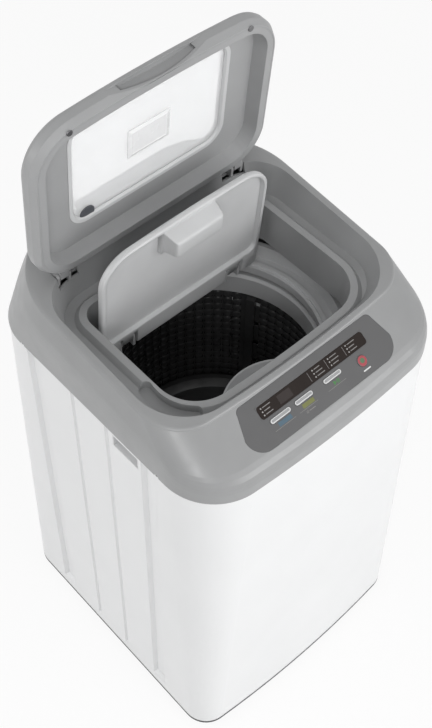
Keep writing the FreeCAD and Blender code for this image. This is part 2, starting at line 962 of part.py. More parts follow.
def lid_loft(inset, top):
    """Rounded outer form of the lid: a drafted skirt, upright edge and rounded shoulder."""
    skirt = lid_skirt * 0.75
    levels = [(lid_skirt_draft, -lid_skirt), (0, -lid_skirt + skirt), (0, top * 0.45), (1.6, top * 0.72),
              (5.0, top * 0.91), (11.0, top)]
    return loft([level(lid_outline(step + inset), z) for step, z in levels])


def window_outline(grow):
    r = window_corner + grow
    return outline(window_half + grow, window_front_v - grow, window_rear_v + grow, r, r, bow=100000.0)


def scallop():
    r = (scallop_half ** 2 + scallop_depth ** 2) / (2 * scallop_depth)
    return cylinder(r, -lid_skirt - 1, lid_crown * 0.35, 0, lid_front + scallop_depth - r)


def lid_arm():
    """Arm from the lid's rear edge round the hinge axis."""
    x0 = -arm_middle_x - arm_width / 2
    root = lid_rear_v - lid_skin
    bar = box(x0, x0 + arm_width, root, hinge_v, hinge_w - arm_round, hinge_w + arm_round)
    eye = along_x(arm_round, x0, x0 + arm_width, hinge_v, hinge_w)
    heel = box(x0, x0 + arm_width, root, lid_rear_v + 2, hinge_w, liner_floor)
    bore = along_x(hinge_pin_radius + running_gap, x0, x0 + arm_width, hinge_v, hinge_w)
    return fuse_all([bar, eye, heel]).cut(bore)


def make_lid_frame():
    frame = lid_loft(0, lid_crown).cut(lid_loft(lid_skin, lid_crown - lid_skin))
    frame = frame.cut(prism(window_outline(0), 0, lid_crown + 1)).cut(scallop())
    return fuse_all([frame] + both_sides(lid_arm()))


def liner_recess():
    x = lid_half - lid_skirt_draft - flange_side
    y0 = lid_front + flange_front
    y1 = lid_rear_v - flange_rear
    r = recess_corner
    d = recess_draft
    low = outline(x, y0, y1, r, r)
    high = outline(x - d, y0 + d, y1 - d, r - d, r - d)
    return loft([level(low, -lid_skirt), level(high, liner_floor)])


def make_lid_liner():
    top = liner_floor + liner_thick
    body = lid_loft(lid_skin + fit_gap, lid_crown - lid_skin).common(
        box(-half, half, front, rear, -lid_skirt, top))
    body = body.cut(liner_recess())
    body = body.cut(prism(window_outline(window_margin + fit_gap), 0, lid_crown))
    wide = placed(scallop(), Placement(Vector(0, lid_skin + fit_gap, 0), Rotation()))
    return body.cut(wide).removeSplitter()


def make_gasket():
    low = liner_floor - gasket_proud
    top = liner_floor + liner_thick
    hole = loft([level(window_outline(gasket_bevel), low), level(window_outline(0), top)])
    return prism(window_outline(window_margin), low, top).cut(hole)


def make_pane():
    z = liner_floor + liner_thick + fit_gap
    return prism(window_outline(window_margin), z, z + pane_thick)


def make_lid_screws():
    y = lid_front + flange_front - screw_head_radius - 1.5
    place = Vector(-lid_screw_x, y, -lid_skirt - screw_head_height)
    head = Part.makeCylinder(screw_head_radius, screw_head_height, place)
    return both_sides(head)


def make_bumper():
    pad = cylinder(bumper_radius, lid_crown, lid_crown + bumper_thick, bumper_x, window_rear_v - bumper_rear)
    return pad.makeFillet(1.0, [e for e in pad.Edges if e.BoundBox.ZMin > lid_crown + bumper_thick - 0.01])


# Lid hinge brackets and pins, under the rear deck

def bracket_cheeks():
    """Spans along X of the two cheeks, outside the slot."""
    inner = -slot_inner_x + ear_gap
    outer = -slot_outer_x - ear_gap
    return [(outer - ear_thick, outer), (inner, inner + ear_thick)]


def pin_lugs():
    """Spans along X of the two lugs that carry the pin, beside the lid's arm in the slot."""
    outer = -arm_middle_x - arm_width / 2 - ear_gap
    inner = -arm_middle_x + arm_width / 2 + ear_gap
    return [(outer - ear_thick, outer), (inner, inner + ear_thick)]


def make_brackets():
    top = -deck_thick - fit_gap
    near = well_rear_v + cover_wall + fit_gap
    far = hinge_v + ear_reach
    floor = hinge_w - ear_reach
    low = floor - bracket_floor
    cheeks = bracket_cheeks()
    pieces = [box(x0, x1, near, far, low, top) for x0, x1 in cheeks]
    pieces.append(box(cheeks[0][0], cheeks[1][1], near, far, low, floor))
    for x0, x1 in pin_lugs():
        pieces.append(box(x0, x1, hinge_v - ear_radius, far, floor - ear_gap, hinge_w))
        pieces.append(along_x(ear_radius, x0, x1, hinge_v, hinge_w))
    bracket = fuse_all(pieces).cut(hinge_pin())
    return both_sides(placed(bracket, deck))


def hinge_pin():
    lugs = pin_lugs()
    return along_x(hinge_pin_radius, lugs[0][0], lugs[1][1], hinge_v, hinge_w)


def make_lid_pins():
    return both_sides(placed(hinge_pin(), deck))


# Tub and its cover

def make_tub():
    r = tub_radius
    w = tub_wall
    flange_z = tub_top - tub_flange_thick
    shell = revolved([(bearing_radius + 1, tub_floor - w), (r + w, tub_floor - w), (r + w, flange_z),
                      (r + tub_flange, flange_z), (r + tub_flange, tub_top), (r, tub_top), (r, tub_floor),
                      (bearing_radius + 1, tub_floor)])
    pieces = [shell]
    for i in range(tub_rib_count):
        rib = box(r + w / 2, r + w + 4, -w / 2, w / 2, tub_floor - w, flange_z)
        pieces.append(placed(rib, Placement(Vector(), Rotation(Vector(0, 0, 1), 360.0 * i / tub_rib_count))))
    span = math.hypot(rod_x, rod_y)
    for angle in lug_angles():
        arm = box(r + w / 2, span, -lug_width / 2, lug_width / 2, lug_z, lug_z + lug_thick)
        web = extruded(polygon([Vector(r + w / 2, 0, lug_z - 40), Vector(r + w / 2, 0, lug_z + 1),
                                Vector(span - cup_radius, 0, lug_z + 1)]), Vector(0, w, 0))
        eye = cylinder(lug_width / 2, lug_z, lug_z + lug_thick, span, 0)
        turn = Placement(Vector(), Rotation(Vector(0, 0, 1), angle))
        pieces += [placed(p, turn) for p in (arm, web, eye)]
    tub = fuse_all(pieces)
    for x, y in rod_places():
        tub = tub.cut(cylinder(rod_radius + suspension_gap, lug_z - 1, lug_z + lug_thick + 1, x, y))
    bore = outlet_radius - outlet_wall
    return tub.cut(cylinder(bore, tub_floor - 2 * tub_wall, tub_floor + 1, outlet_x, outlet_y))


def rod_places():
    return [(sx * rod_x, sy * rod_y) for sx in (-1, 1) for sy in (-1, 1)]


def lug_angles():
    return [math.degrees(math.atan2(y, x)) for x, y in rod_places()]


def make_tub_cover():
    outer = tub_radius + tub_flange
    rim = outer - ring_rim_width
    lip = ring_opening + ring_lip_thick
    rim_top = ring_z + ring_rim_height
    plate = revolved([(0, tub_top), (ring_opening, tub_top), (ring_opening, tub_top - ring_lip),
                      (lip, tub_top - ring_lip), (lip, tub_top), (outer, tub_top), (outer, rim_top),
                      (rim, rim_top), (rim - 3, ring_z), (0, ring_z)])
    opening = cylinder(ring_opening, tub_top - 1, ring_z + 1).common(
        box(-outer, outer, -outer, ring_chord_y, tub_top - 2, ring_z + 2))
    plate = plate.cut(opening)
    step_top = ring_z + ring_step
    step = revolved([(lip + 1, ring_z - 0.5), (lip + 9, ring_z - 0.5), (lip + 8, step_top),
                     (lip + 2, step_top)])
    plate = plate.fuse(step.common(box(-outer, outer, -outer, ring_chord_y - 10, tub_top, step_top + 1)))
    pieces = [plate, pocket_dish(lip)]
    for x0, x1 in inner_ears():
        ear = box(x0, x1, inner_axis_y - knuckle_radius, ring_chord_y + 14, ring_z - 1, inner_axis_z)
        eye = along_x(knuckle_radius, x0, x1, inner_axis_y, inner_axis_z)
        pieces += both_sides(ear.fuse(eye))
    cover = fuse_all(pieces)
    x0 = min(e[0] for e in inner_ears())
    x1 = max(e[1] for e in inner_ears())
    bore = along_x(inner_pin_radius, x0, x1, inner_axis_y, inner_axis_z)
    for cut in both_sides(bore):
        cover = cover.cut(cut)
    return cover.removeSplitter()


def pocket_dish(lip):
    """Shallow dish inside the front of the ring that takes the inner lid's pocket."""
    top = tub_top - ring_lip + dish_rise
    floor = top - dish_depth
    low = floor - dish_wall
    centre = Vector(0, dish_y, low)
    bowl = Part.makeCone(dish_radius - dish_draft, dish_radius, top - low, centre)
    hollow = Part.makeCone(dish_radius - dish_draft - dish_wall, dish_radius - dish_wall, dish_depth,
                           Vector(0, dish_y, floor))
    return bowl.common(cylinder(lip, low, top)).cut(hollow.common(cylinder(ring_opening, floor, top)))


def inner_ears():
    near = -knuckle_x + knuckle_width / 2 + ear_gap
    far = -knuckle_x - knuckle_width / 2 - ear_gap
    return [(near, near + inner_ear_thick), (far - inner_ear_thick, far)]


# Inner lid, drawn closed over the tub cover and then opened

def inner_opened(shape):
    turned = shape.copy()
    turned.rotate(Vector(0, inner_axis_y, inner_axis_z), Vector(1, 0, 0), -inner_open_angle)
    return turned


def make_inner_lid():
    w = throat_half - inner_gap
    low = inner_axis_z - inner_below
    high = low + inner_thick
    y0 = inner_axis_y - inner_reach
    y1 = inner_axis_y + inner_tail

    def section(inset, z):
        return level(outline(w - inset, y0 + inset, y1 - inset, inner_corner_front - inset,
                             inner_corner_rear - inset), z)
    slab = loft([section(2, low), section(0, low + 2), section(0, high - 3), section(0.9, high - 0.9),
                 section(3, high)])
    py0 = y0 + pocket_edge
    py1 = py0 + pocket_length
    d = pocket_draft

    def mouth(grow, inset, z):
        return polygon([Vector(-pocket_half - grow + inset, py0 - grow + inset, z),
                        Vector(pocket_half + grow - inset, py0 - grow + inset, z),
                        Vector(pocket_half + grow - inset, py1 + grow - inset, z),
                        Vector(-pocket_half - grow + inset, py1 + grow - inset, z)])
    bulge = loft([mouth(pocket_wall, d, low - pocket_depth), mouth(pocket_wall, 0, low + 1)])
    hollow = loft([mouth(0, d, low - pocket_depth + pocket_wall), mouth(0, 0, high + 1)])
    lid = slab.fuse(bulge).cut(hollow)
    for s in (-1, 1):
        notch = box(s * knuckle_x - knuckle_notch / 2, s * knuckle_x + knuckle_notch / 2,
                    inner_axis_y - knuckle_notch_reach, y1 + 1, low - 1, high + 1)
        lid = lid.cut(notch)
        x0 = s * knuckle_x - knuckle_width / 2
        x1 = x0 + knuckle_width
        tab = box(x0, x1, inner_axis_y - knuckle_notch_reach - 1, inner_axis_y, low + 1, high - 1)
        eye = along_x(knuckle_radius, x0, x1, inner_axis_y, inner_axis_z)
        bore = along_x(inner_pin_radius + running_gap, x0, x1, inner_axis_y, inner_axis_z)
        lid = lid.fuse(tab).fuse(eye).cut(bore)
    return inner_opened(lid.removeSplitter())


def make_inner_pins():
    x0 = min(e[0] for e in inner_ears())
    x1 = max(e[1] for e in inner_ears())
    pin = along_x(inner_pin_radius, x0, x1, inner_axis_y, inner_axis_z)
    return both_sides(pin)


# Basket with its balance ring and hub

def make_basket():
    r = basket_radius
    w = basket_wall
    f = basket_floor - basket_floor_thick
    shell = revolved([(spin_tube_radius + 8, f), (r - 12, f), (r + w, f + 14), (r + w, basket_top),
                      (r, basket_top), (r, f + 16), (r - 12, basket_floor),
                      (spin_tube_radius + 8, basket_floor)])
    pieces = [shell]
    for i in range(column_count):
        column = box(r - column_depth, r + w / 2, -column_width / 2, column_width / 2, f + 18,
                     basket_top - column_top)
        turn = column_turn + 360.0 * i / column_count
        pieces.append(placed(column, Placement(Vector(), Rotation(Vector(0, 0, 1), turn))))
    basket = fuse_all(pieces)
    holes = []
    for row in range(hole_rows):
        z = basket_floor + hole_rise + row * hole_pitch
        for i in range(hole_columns):
            peg = box(r - w, r + 2 * w, -hole_size / 2, hole_size / 2, z - hole_size / 2, z + hole_size / 2)
            turn = 360.0 * (i + 0.5) / hole_columns
            holes.append(placed(peg, Placement(Vector(), Rotation(Vector(0, 0, 1), turn))))
    return basket.cut(Part.makeCompound(holes))


def make_balance_ring():
    r = basket_radius + basket_wall + fit_gap
    z0 = basket_top - balance_under
    z1 = basket_top + balance_over
    lip = basket_top + fit_gap
    return revolved([(r, z0), (balance_outer - 3, z0), (balance_outer, z0 + 4), (balance_outer, z1 - 5),
                     (balance_outer - 5, z1), (balance_inner + 4, z1), (balance_inner, z1 - 4),
                     (balance_inner, lip), (r, lip)])


def make_hub():
    return tube(hub_radius, spin_tube_radius, hub_z, hub_z + hub_thick).fuse(
        tube(spin_tube_radius + 8, spin_tube_radius, hub_z - 8, hub_z + 1)).removeSplitter()


def make_spin_tube():
    low = housing_z - clutch_height - clutch_gap
    return tube(spin_tube_radius, shaft_radius + running_gap, low, hub_z + hub_thick)


# Pulsator and the shaft that drives it

def pulsator_z():
    return basket_floor + pulsator_gap


def make_pulsator():
    z = pulsator_z()
    r = pulsator_radius
    t = pulsator_thick
    disc = revolved([(0, z), (r - 4, z), (r, z + 4), (r - 2, z + t + 5), (r - 16, z + t), (62, z + t + 3),
                     (34, z + t + pulsator_dome * 0.75), (14, z + t + pulsator_dome),
                     (0, z + t + pulsator_dome)])

    def rib(x, y, w, h):
        return polygon([Vector(x, y - w, z + 2), Vector(x, y + w, z + 2), Vector(x, y + w * 0.4, z + t + h),
                        Vector(x, y - w * 0.4, z + t + h)])
    vane = loft([rib(vane_root, 0, vane_width / 2, vane_height),
                 rib(vane_middle, vane_bend, vane_width / 2, vane_height * 0.75),
                 rib(r - vane_end, vane_sweep, vane_width / 3, t)])
    pieces = [disc]
    for i in range(vane_count):
        pieces.append(placed(vane, Placement(Vector(), Rotation(Vector(0, 0, 1), 360.0 * i / vane_count))))
    return fuse_all(pieces).cut(cylinder(shaft_radius, z - 1, z + t + pulsator_dome - 8))


def make_shaft():
    return cylinder(shaft_radius, pulley_z - 4, pulsator_z() + pulsator_thick + pulsator_dome - 8)


def grooved_pulley(radius, bore, x, y):
    g = pulley_groove_height / 2
    m = belt_z
    low = pulley_z
    high = pulley_z + pulley_height
    deep = radius - pulley_groove_depth
    wheel = revolved([(bore, low), (radius, low), (radius, m - g - 2), (deep, m - g + 1), (deep, m + g - 1),
                      (radius, m + g + 2), (radius, high), (bore, high)])
    return placed(wheel, Placement(Vector(x, y, 0), Rotation()))


def make_driven_pulley():
    wheel = grooved_pulley(driven_pulley_radius, shaft_radius, 0, 0)
    for i in range(5):
        p = polar(driven_pulley_radius * 0.52, 72.0 * i)
        wheel = wheel.cut(cylinder(driven_pulley_radius * 0.18, pulley_z, pulley_z + pulley_height, p.x, p.y))
    return wheel


# Drive group under the tub

def make_housing():
    r = bearing_radius
    low = housing_z
    top = housing_top
    flange = top - housing_flange_thick
    return revolved([(r, low), (housing_radius - 6, low), (housing_radius, low + 8), (housing_radius, flange),
                     (housing_flange_radius, flange), (housing_flange_radius, top), (r, top)])


def make_bearings():
    inner = spin_tube_radius + running_gap
    low = tube(bearing_radius, inner, housing_z + 4, housing_z + 4 + bearing_height)
    high = tube(bearing_radius, inner, housing_top - 6 - bearing_height, housing_top - 6)
    return [low, high]


def make_seal():
    return tube(bearing_radius + 1, spin_tube_radius + running_gap, tub_floor - tub_wall,
                tub_floor - tub_wall + seal_height)


def make_clutch():
    z = housing_z - clutch_height
    return tube(clutch_radius, spin_tube_radius + running_gap, z, housing_z).cut(
        tube(clutch_radius + 1, clutch_radius - 3, z + 3, z + 6))


def make_motor_plate():
    y0 = housing_flange_radius + 2
    y1 = motor_y + motor_radius + 10
    plate = box(-motor_radius - 8, motor_radius + 8, y0, y1, motor_top, housing_top)
    return plate.cut(cylinder(tub_radius, motor_top - 1, housing_top + 1).cut(
        cylinder(tub_radius - 1, motor_top - 1, housing_top + 1)))


def make_motor():
    r = motor_radius
    body = revolved([(0, motor_z), (r * 0.45, motor_z), (r * 0.5, motor_z + 6), (r * 0.86, motor_z + 8),
                     (r, motor_z + 20), (r, motor_top - 14), (r * 0.9, motor_top), (0, motor_top)])
    pieces = [body]
    for i in range(motor_fin_count):
        fin = box(r - 2, r + 3, -1.5, 1.5, motor_z + 22, motor_top - 16)
        turn = 360.0 * i / motor_fin_count
        pieces.append(placed(fin, Placement(Vector(), Rotation(Vector(0, 0, 1), turn))))
    motor = placed(fuse_all(pieces), Placement(Vector(0, motor_y, 0), Rotation()))
    return motor.cut(cylinder(motor_shaft_radius + running_gap, motor_z - 1, motor_z + 18, 0, motor_y))


def make_motor_shaft():
    return cylinder(motor_shaft_radius, pulley_z - 2, motor_z + 17.7, 0, motor_y)


def make_motor_pulley():
    return grooved_pulley(motor_pulley_radius, motor_shaft_radius, 0, motor_y)


def belt_outline(r1, r2):
    """Line of an open belt round two wheels on the Y axis."""
    a = math.acos((r1 - r2) / motor_y)
    s = math.sin(a)
    c = math.cos(a)
    v = Vector
    p1 = v(r1 * s, r1 * c, 0)
    p2 = v(r2 * s, motor_y + r2 * c, 0)

    def flip(p):
        return v(-p.x, p.y, 0)
    edges = [Part.LineSegment(p1, p2), Part.Arc(p2, v(0, motor_y + r2, 0), flip(p2)),
             Part.LineSegment(flip(p2), flip(p1)), Part.Arc(flip(p1), v(0, -r1, 0), p1)]
    return Part.Wire([e.toShape() for e in edges])


def make_belt():
    inner1 = driven_pulley_radius - pulley_groove_depth + belt_gap
    inner2 = motor_pulley_radius - pulley_groove_depth + belt_gap
    thick = pulley_groove_depth - 1
    z0 = belt_z - pulley_groove_height / 2 + belt_side_gap
    z1 = belt_z + pulley_groove_height / 2 - belt_side_gap
    hole = prism(belt_outline(inner1, inner2), z0, z1)
    return prism(belt_outline(inner1 + thick, inner2 + thick), z0, z1).cut(hole)


def make_outlet():
    top = tub_floor - tub_wall
    stem = tube(outlet_radius, outlet_radius - outlet_wall, top - outlet_length, top, outlet_x, outlet_y)
    z = top - outlet_length + spigot_radius + 3
    arm_start = outlet_y + outlet_radius - outlet_wall
    arm_end = arm_start + outlet_arm
    arm = along_y(spigot_radius, arm_start, arm_end, outlet_x, z)
    cap = cylinder(outlet_radius + 2, top - outlet_length - 5, top - outlet_length, outlet_x, outlet_y)
    return fuse_all([stem, arm, cap]).cut(along_y(spigot_bore, arm_start - 1, arm_end, outlet_x, z))


# Suspension: corner brackets, hanging rods and the sprung cups that carry the tub's lugs

def make_hangers():
    plates = []
    room = cabinet_loft(sheet + fit_gap)
    for x, y in rod_places():
        sx = math.copysign(1, x)
        sy = math.copysign(1, y)
        xs = sorted((x - sx * hanger_reach / 2, sx * half))
        ys = sorted((y - sy * hanger_reach / 2, sy * rear))
        top = hanger_z + hanger_thick
        plate = box(xs[0], xs[1], ys[0], ys[1], hanger_z, top).common(room)
        plates.append(plate.cut(cylinder(rod_radius + suspension_gap, hanger_z - 1, top + 1, x, y)))
    return plates


def make_rods():
    rods = []
    for x, y in rod_places():
        top = hanger_z + hanger_thick
        rod = cylinder(rod_radius, rod_low, top + 6, x, y)
        ball = Part.makeSphere(ball_radius, Vector(x, y, top), Vector(0, 0, 1), 0, 90, 360)
        cap = cylinder(rod_cap_radius, rod_low, rod_low + rod_cap_height, x, y)
        rods.append(fuse_all([rod, ball, cap]))
    return rods


def make_cups():
    cups = []
    for x, y in rod_places():
        outer = cylinder(cup_radius, lug_z - cup_length, lug_z, x, y)
        bore = cylinder(cup_bore, lug_z - cup_length, lug_z - 4, x, y)
        cups.append(outer.cut(bore).cut(cylinder(rod_radius + suspension_gap, lug_z - 5, lug_z, x, y)))
    return cups


def make_springs():
    low = rod_low + rod_cap_height
    return [tube(spring_outer, spring_inner, low, lug_z - 4 - suspension_gap, x, y) for x, y in rod_places()]


# Water inlet, fill duct, pump and electrics

def inlet_z():
    return seam_z + inlet_rise


def inlet_recess(grow):
    """Recess of the cover's rear wall round the inlet thread."""
    r = recess_half + grow
    z = inlet_z()
    return box(inlet_x - r, inlet_x + r, rear - recess_depth - grow, rear + 2 * cover_overhang, z - r, z + r)


def valve_face():
    return rear - recess_depth - cover_wall - fit_gap


def inlet_hole():
    y = valve_face()
    return along_y(inlet_collar_radius + fit_gap, y, y + 2 * cover_wall, inlet_x, inlet_z())


def make_inlet_valve():
    y = valve_face()
    z = inlet_z()
    body = box(inlet_x - valve_width / 2, inlet_x + valve_width / 2, y - valve_depth, y, z - valve_height / 2,
               z + valve_height / 2)
    collar = along_y(inlet_collar_radius, y - 1, y + cover_wall + 2, inlet_x, z)
    thread_end = y + cover_wall + 2 + inlet_thread_length
    thread = along_y(inlet_thread_radius, y, thread_end, inlet_x, z)
    low = z - valve_height / 2
    coil = cylinder(coil_radius, low - coil_length, low + 1, inlet_x, y - valve_depth / 2)
    return fuse_all([body, collar, thread, coil]).cut(along_y(inlet_bore, y, thread_end, inlet_x, z))


def duct_solid(grow, through):
    """Flat duct from the inlet valve to the back of the throat."""
    z1 = well_z - cover_wall - duct_drop
    z0 = z1 - duct_height
    y1 = valve_face() - valve_depth
    y0 = throat_rear + (-1.0 if through else duct_gap)
    x0 = inlet_x
    x1 = inlet_x + duct_width
    g = grow - duct_wall
    end = throat_rear + 2 * cover_wall if through else y1 - duct_gap
    return box(x0 - g, x1 + g, y0, end, z0 - g, z1 + g)


def make_duct():
    outer = duct_solid(duct_wall, False)
    hollow = duct_solid(0, False)
    hollow.translate(Vector(0, -duct_wall, 0))
    return outer.cut(hollow)


def pump_z():
    return base_z + base_floor + pump_stand


def spigot_z():
    return pump_z() + pump_height / 2


def make_pump():
    z = pump_z()
    end = rear - spigot_short
    stand = tube(pump_radius - 4, pump_radius - 8, base_z + base_floor, z + 1, pump_x, pump_y)
    volute = cylinder(pump_radius, z, z + pump_height, pump_x, pump_y)
    top = z + pump_height
    motor = cylinder(pump_motor_radius, top - 1, top + pump_motor_height, pump_x, pump_y)
    root = pump_y + pump_radius + spigot_root
    collar = along_y(spigot_radius + spigot_collar, pump_y, root, pump_x, spigot_z())
    out = along_y(spigot_radius, pump_y, end, pump_x, spigot_z())
    inlet = along_y(pump_inlet_radius, pump_y - pump_radius - pump_inlet, pump_y, pump_x, spigot_z())
    bore = along_y(spigot_bore, pump_y + pump_radius - 4, end, pump_x, spigot_z())
    return fuse_all([stand, volute, motor, collar, out, inlet]).cut(bore)


def make_capacitor():
    z = base_z + base_floor
    can = cylinder(capacitor_radius, z, z + capacitor_height, capacitor_x, capacitor_y)
    return can.makeFillet(3.0, [e for e in can.Edges if e.BoundBox.ZMin > z + capacitor_height - 0.01])


def make_level_sensor():
    top = -deck_thick - fit_gap
    can = cylinder(sensor_radius, top - sensor_height, top, sensor_x, sensor_v)
    nose = cylinder(3.0, top - sensor_height - 12, top - sensor_height + 1, sensor_x, sensor_v)
    return placed(can.fuse(nose).removeSplitter(), deck)


def make_lid_switch():
    top = -deck_thick - fit_gap
    body = box(switch_x - switch_width / 2, switch_x + switch_width / 2, switch_v - switch_length / 2,
               switch_v + switch_length / 2, top - switch_height, top)
    return placed(body, deck)


def gland_z():
    return back_opening_high - gland_drop


def make_gland():
    """Bush through the back panel, with its flange outside and its nut inside."""
    z = gland_z()
    face = rear - sheet
    inner = face - back_sheet
    end = face + gland_proud
    bush = along_y(gland_radius, face - gland_length, end, gland_x, z)
    flange = along_y(gland_flange, face, end, gland_x, z)
    nut = along_y(gland_flange, inner - gland_nut, inner, gland_x, z)
    bore = along_y(gland_bore, face - gland_length, end, gland_x, z)
    return fuse_all([bush, flange, nut]).cut(bore)


def build():
    outer_cover = cover_loft(0)
    keys = [make_key(*k) for k in key_list()]
    return {
        "cabinet_shell": make_cabinet(),
        "hand_grips": make_grips(),
        "base_frame": make_base(),
        "feet": make_feet(),
        "back_panel": make_back_panel(),
        "back_screws": make_back_screws(),
        "top_cover": make_cover(outer_cover),
        "cover_screws": make_cover_screws(),
        "control_fascia": make_fascia(outer_cover),
        "display_strip": make_strip(outer_cover),
        "key_left": keys[0],
        "key_middle": keys[1],
        "key_right": keys[2],
        "key_power": keys[3],
        "control_board": make_board(),
        "lid_frame": opened(make_lid_frame()),
        "lid_liner": opened(make_lid_liner()),
        "lid_gasket": opened(make_gasket()),
        "lid_window": opened(make_pane()),
        "lid_screws": [opened(s) for s in make_lid_screws()],
        "lid_bumper": opened(make_bumper()),
        "hinge_brackets": make_brackets(),
        "hinge_pins": make_lid_pins(),
        "outer_tub": make_tub(),
        "tub_cover": make_tub_cover(),
        "inner_lid": make_inner_lid(),
        "inner_lid_pins": make_inner_pins(),
        "basket": make_basket(),
        "balance_ring": make_balance_ring(),
        "basket_hub": make_hub(),
        "spin_tube": make_spin_tube(),
        "pulsator": make_pulsator(),
        "pulsator_shaft": make_shaft(),
        "driven_pulley": make_driven_pulley(),
        "drive_belt": make_belt(),
        "bearing_housing": make_housing(),
        "bearings": make_bearings(),
        "shaft_seal": make_seal(),
        "clutch": make_clutch(),
        "motor_plate": make_motor_plate(),
        "motor": make_motor(),
        "motor_shaft": make_motor_shaft(),
        "motor_pulley": make_motor_pulley(),
        "drain_outlet": make_outlet(),
        "corner_hangers": make_hangers(),
        "suspension_rods": make_rods(),
        "suspension_cups": make_cups(),
        "suspension_springs": make_springs(),
        "inlet_valve": make_inlet_valve(),
        "fill_duct": make_duct(),
        "drain_pump": make_pump(),
        "capacitor": make_capacitor(),
        "level_sensor": make_level_sensor(),
        "lid_switch": make_lid_switch(),
        "cord_gland": make_gland(),
    }


os.makedirs("parts", exist_ok=True)
for name, shape in build().items():
    solid = Part.makeCompound(shape) if isinstance(shape, list) else shape
    solid.exportStep("parts/" + name + ".step")
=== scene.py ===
import json
import math

import bmesh
import bpy
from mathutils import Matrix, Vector


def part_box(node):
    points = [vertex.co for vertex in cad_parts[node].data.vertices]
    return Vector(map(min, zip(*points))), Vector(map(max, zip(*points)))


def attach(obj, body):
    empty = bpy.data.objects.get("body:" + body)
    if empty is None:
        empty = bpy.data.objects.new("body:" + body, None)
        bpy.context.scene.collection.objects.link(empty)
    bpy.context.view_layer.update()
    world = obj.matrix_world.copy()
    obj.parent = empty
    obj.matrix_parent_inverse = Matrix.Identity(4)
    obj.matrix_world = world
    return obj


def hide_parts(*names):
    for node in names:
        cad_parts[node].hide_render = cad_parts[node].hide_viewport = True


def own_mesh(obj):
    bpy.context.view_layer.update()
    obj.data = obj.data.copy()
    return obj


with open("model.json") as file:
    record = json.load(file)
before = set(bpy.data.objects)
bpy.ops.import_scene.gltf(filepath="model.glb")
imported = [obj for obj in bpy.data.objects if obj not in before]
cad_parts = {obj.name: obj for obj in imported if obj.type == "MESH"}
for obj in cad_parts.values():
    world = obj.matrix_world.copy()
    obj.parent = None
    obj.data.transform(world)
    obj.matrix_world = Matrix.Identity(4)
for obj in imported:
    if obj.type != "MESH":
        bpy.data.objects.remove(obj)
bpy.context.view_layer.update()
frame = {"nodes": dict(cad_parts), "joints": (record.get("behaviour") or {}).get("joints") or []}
nodes = frame["nodes"]
joints = {joint["name"]: joint for joint in frame["joints"]}
scene = bpy.context.scene
scene.view_settings.view_transform = "Standard"

# Camera, in metres and degrees, and where the photograph's frame lies in its view
camera_place = (-0.71356, -0.76631, 1.97463)
camera_down = 51.879
camera_turn = -41.473
camera_lens = 62.43
camera_sensor = 36.0
camera_shift = (0.0277, -0.0388)

# Light: each lamp's name, place, target, size and power in watts; the sky's level; the floor
lamps = (
    ("front softbox", (0.9, -2.9, 1.5), (0, 0, 0.5), (2.2, 1.6), 45),
    ("left softbox", (-2.6, 1.5, 1.6), (0, 0, 0.5), (1.6, 1.6), 20),
    ("near softbox", (-1.4, -1.35, 2.0), (0, 0, 0.6), (0.6, 0.6), 10),
    ("top softbox", (-0.5, -0.7, 3.2), (0, 0, 0.6), (1.6, 1.6), 8),
)
sky_level = 0.42
floor_half = 12.0
floor_cloud = 0.4
floor_share = 0.01
floor_rough = 0.9
floor_glow = 0.90

# Control panel: sizes of its graphics, along the panel from the display strip's upper edge
strip_height = 0.0175
strip_corner = 0.0042
strip_corner_steps = 8
strip_margin = 0.0007
mark_lift = 0.00012
mark_steps = 6
probe_lift = 0.02
led_groups = (-0.084, 0.002, 0.029, 0.060)
led_rows = 3
led_size = 0.0017
led_pitch = 0.0046
led_first = 0.0042
dash_lengths = (0.0125, 0.009375, 0.01125)
dash_height = 0.0011
dash_gap = 0.0028
divider_places = (-0.006, 0.0235, 0.0545)
divider_half = 0.00025
divider_height = 0.0126
readout_half = 0.0105
readout_middle = -0.0475
readout_height = 0.0115

# Marks under the keys: drops from the key's middle, and shares of its half length or of the start mark
label_drop = 0.0083
label_height = 0.0056
label_off = 0.12
label_half = 0.6
underline_drop = 0.0125
underline_height = 0.0006
underline_half = 0.95
start_size = 0.0030
start_tip = 0.6
pause_places = (1.1, 1.9)
pause_half = 0.2
pause_height = 1.8
lock_drop = 0.0168
lock_across = -0.0055
lock_ring = 0.0016
lock_ring_width = 0.0006
lock_dash = 0.0100

# Prints on the keys: the pills' outlines, and the power key's ring as shares of its radius
cap_depth = 0.0006
pill_steps = 12
outline_inset = 0.0003
outline_width = 0.0012
outline_bands = 2
ring_outer = 0.96
ring_inner = 0.40
ring_steps = 48
ring_bands = 6
power_label_drop = 0.0125
power_label_half = 0.006
power_label_height = 0.00176

# Washing basket: raised squares as half widths and heights over the wall, clear of the wall's columns
bump_columns = 66
bump_rows = 14
bump_rings = ((0.0066, -0.0010), (0.0061, 0.0009), (0.0048, 0.0019), (0.0026, 0.0024))
basket_wall = 0.002
wall_foot = 0.026
wall_head = 0.010
column_turn = 27.0
column_count = 3
column_clear = 4.2

# Suspension springs
coil_outer = 0.013
coil_wire = 0.0024
coil_turns = 7
coil_steps = 16
coil_sides = 8

# Inner lid: how far it stands open, and the recess in its underside
inner_open = 85.0
inner_below = 0.009
rim_width = 0.0065
recess_depth = 0.0062
recess_draft = 0.0018
recess_corner_top = 0.0415
recess_corner_low = 0.012
recess_foot = 0.022
corner_steps = 10

# Finger pocket of the inner lid: its room in the recess, and the rounding of its edges
pocket_half = 0.0440
pocket_reach = 0.0450
pocket_round = 0.0048
pocket_steps = 5
pocket_profile = 0.5
pocket_stand = 0.001
pocket_run = 0.02

# Mesh work on the inner lid: gaps to weld, turns in degrees that count as flat or sharp, area shaded smooth
weld_reach = 0.00001
flat_turn = 1.0
sharp_turn = 30.0
small_face = 0.0002

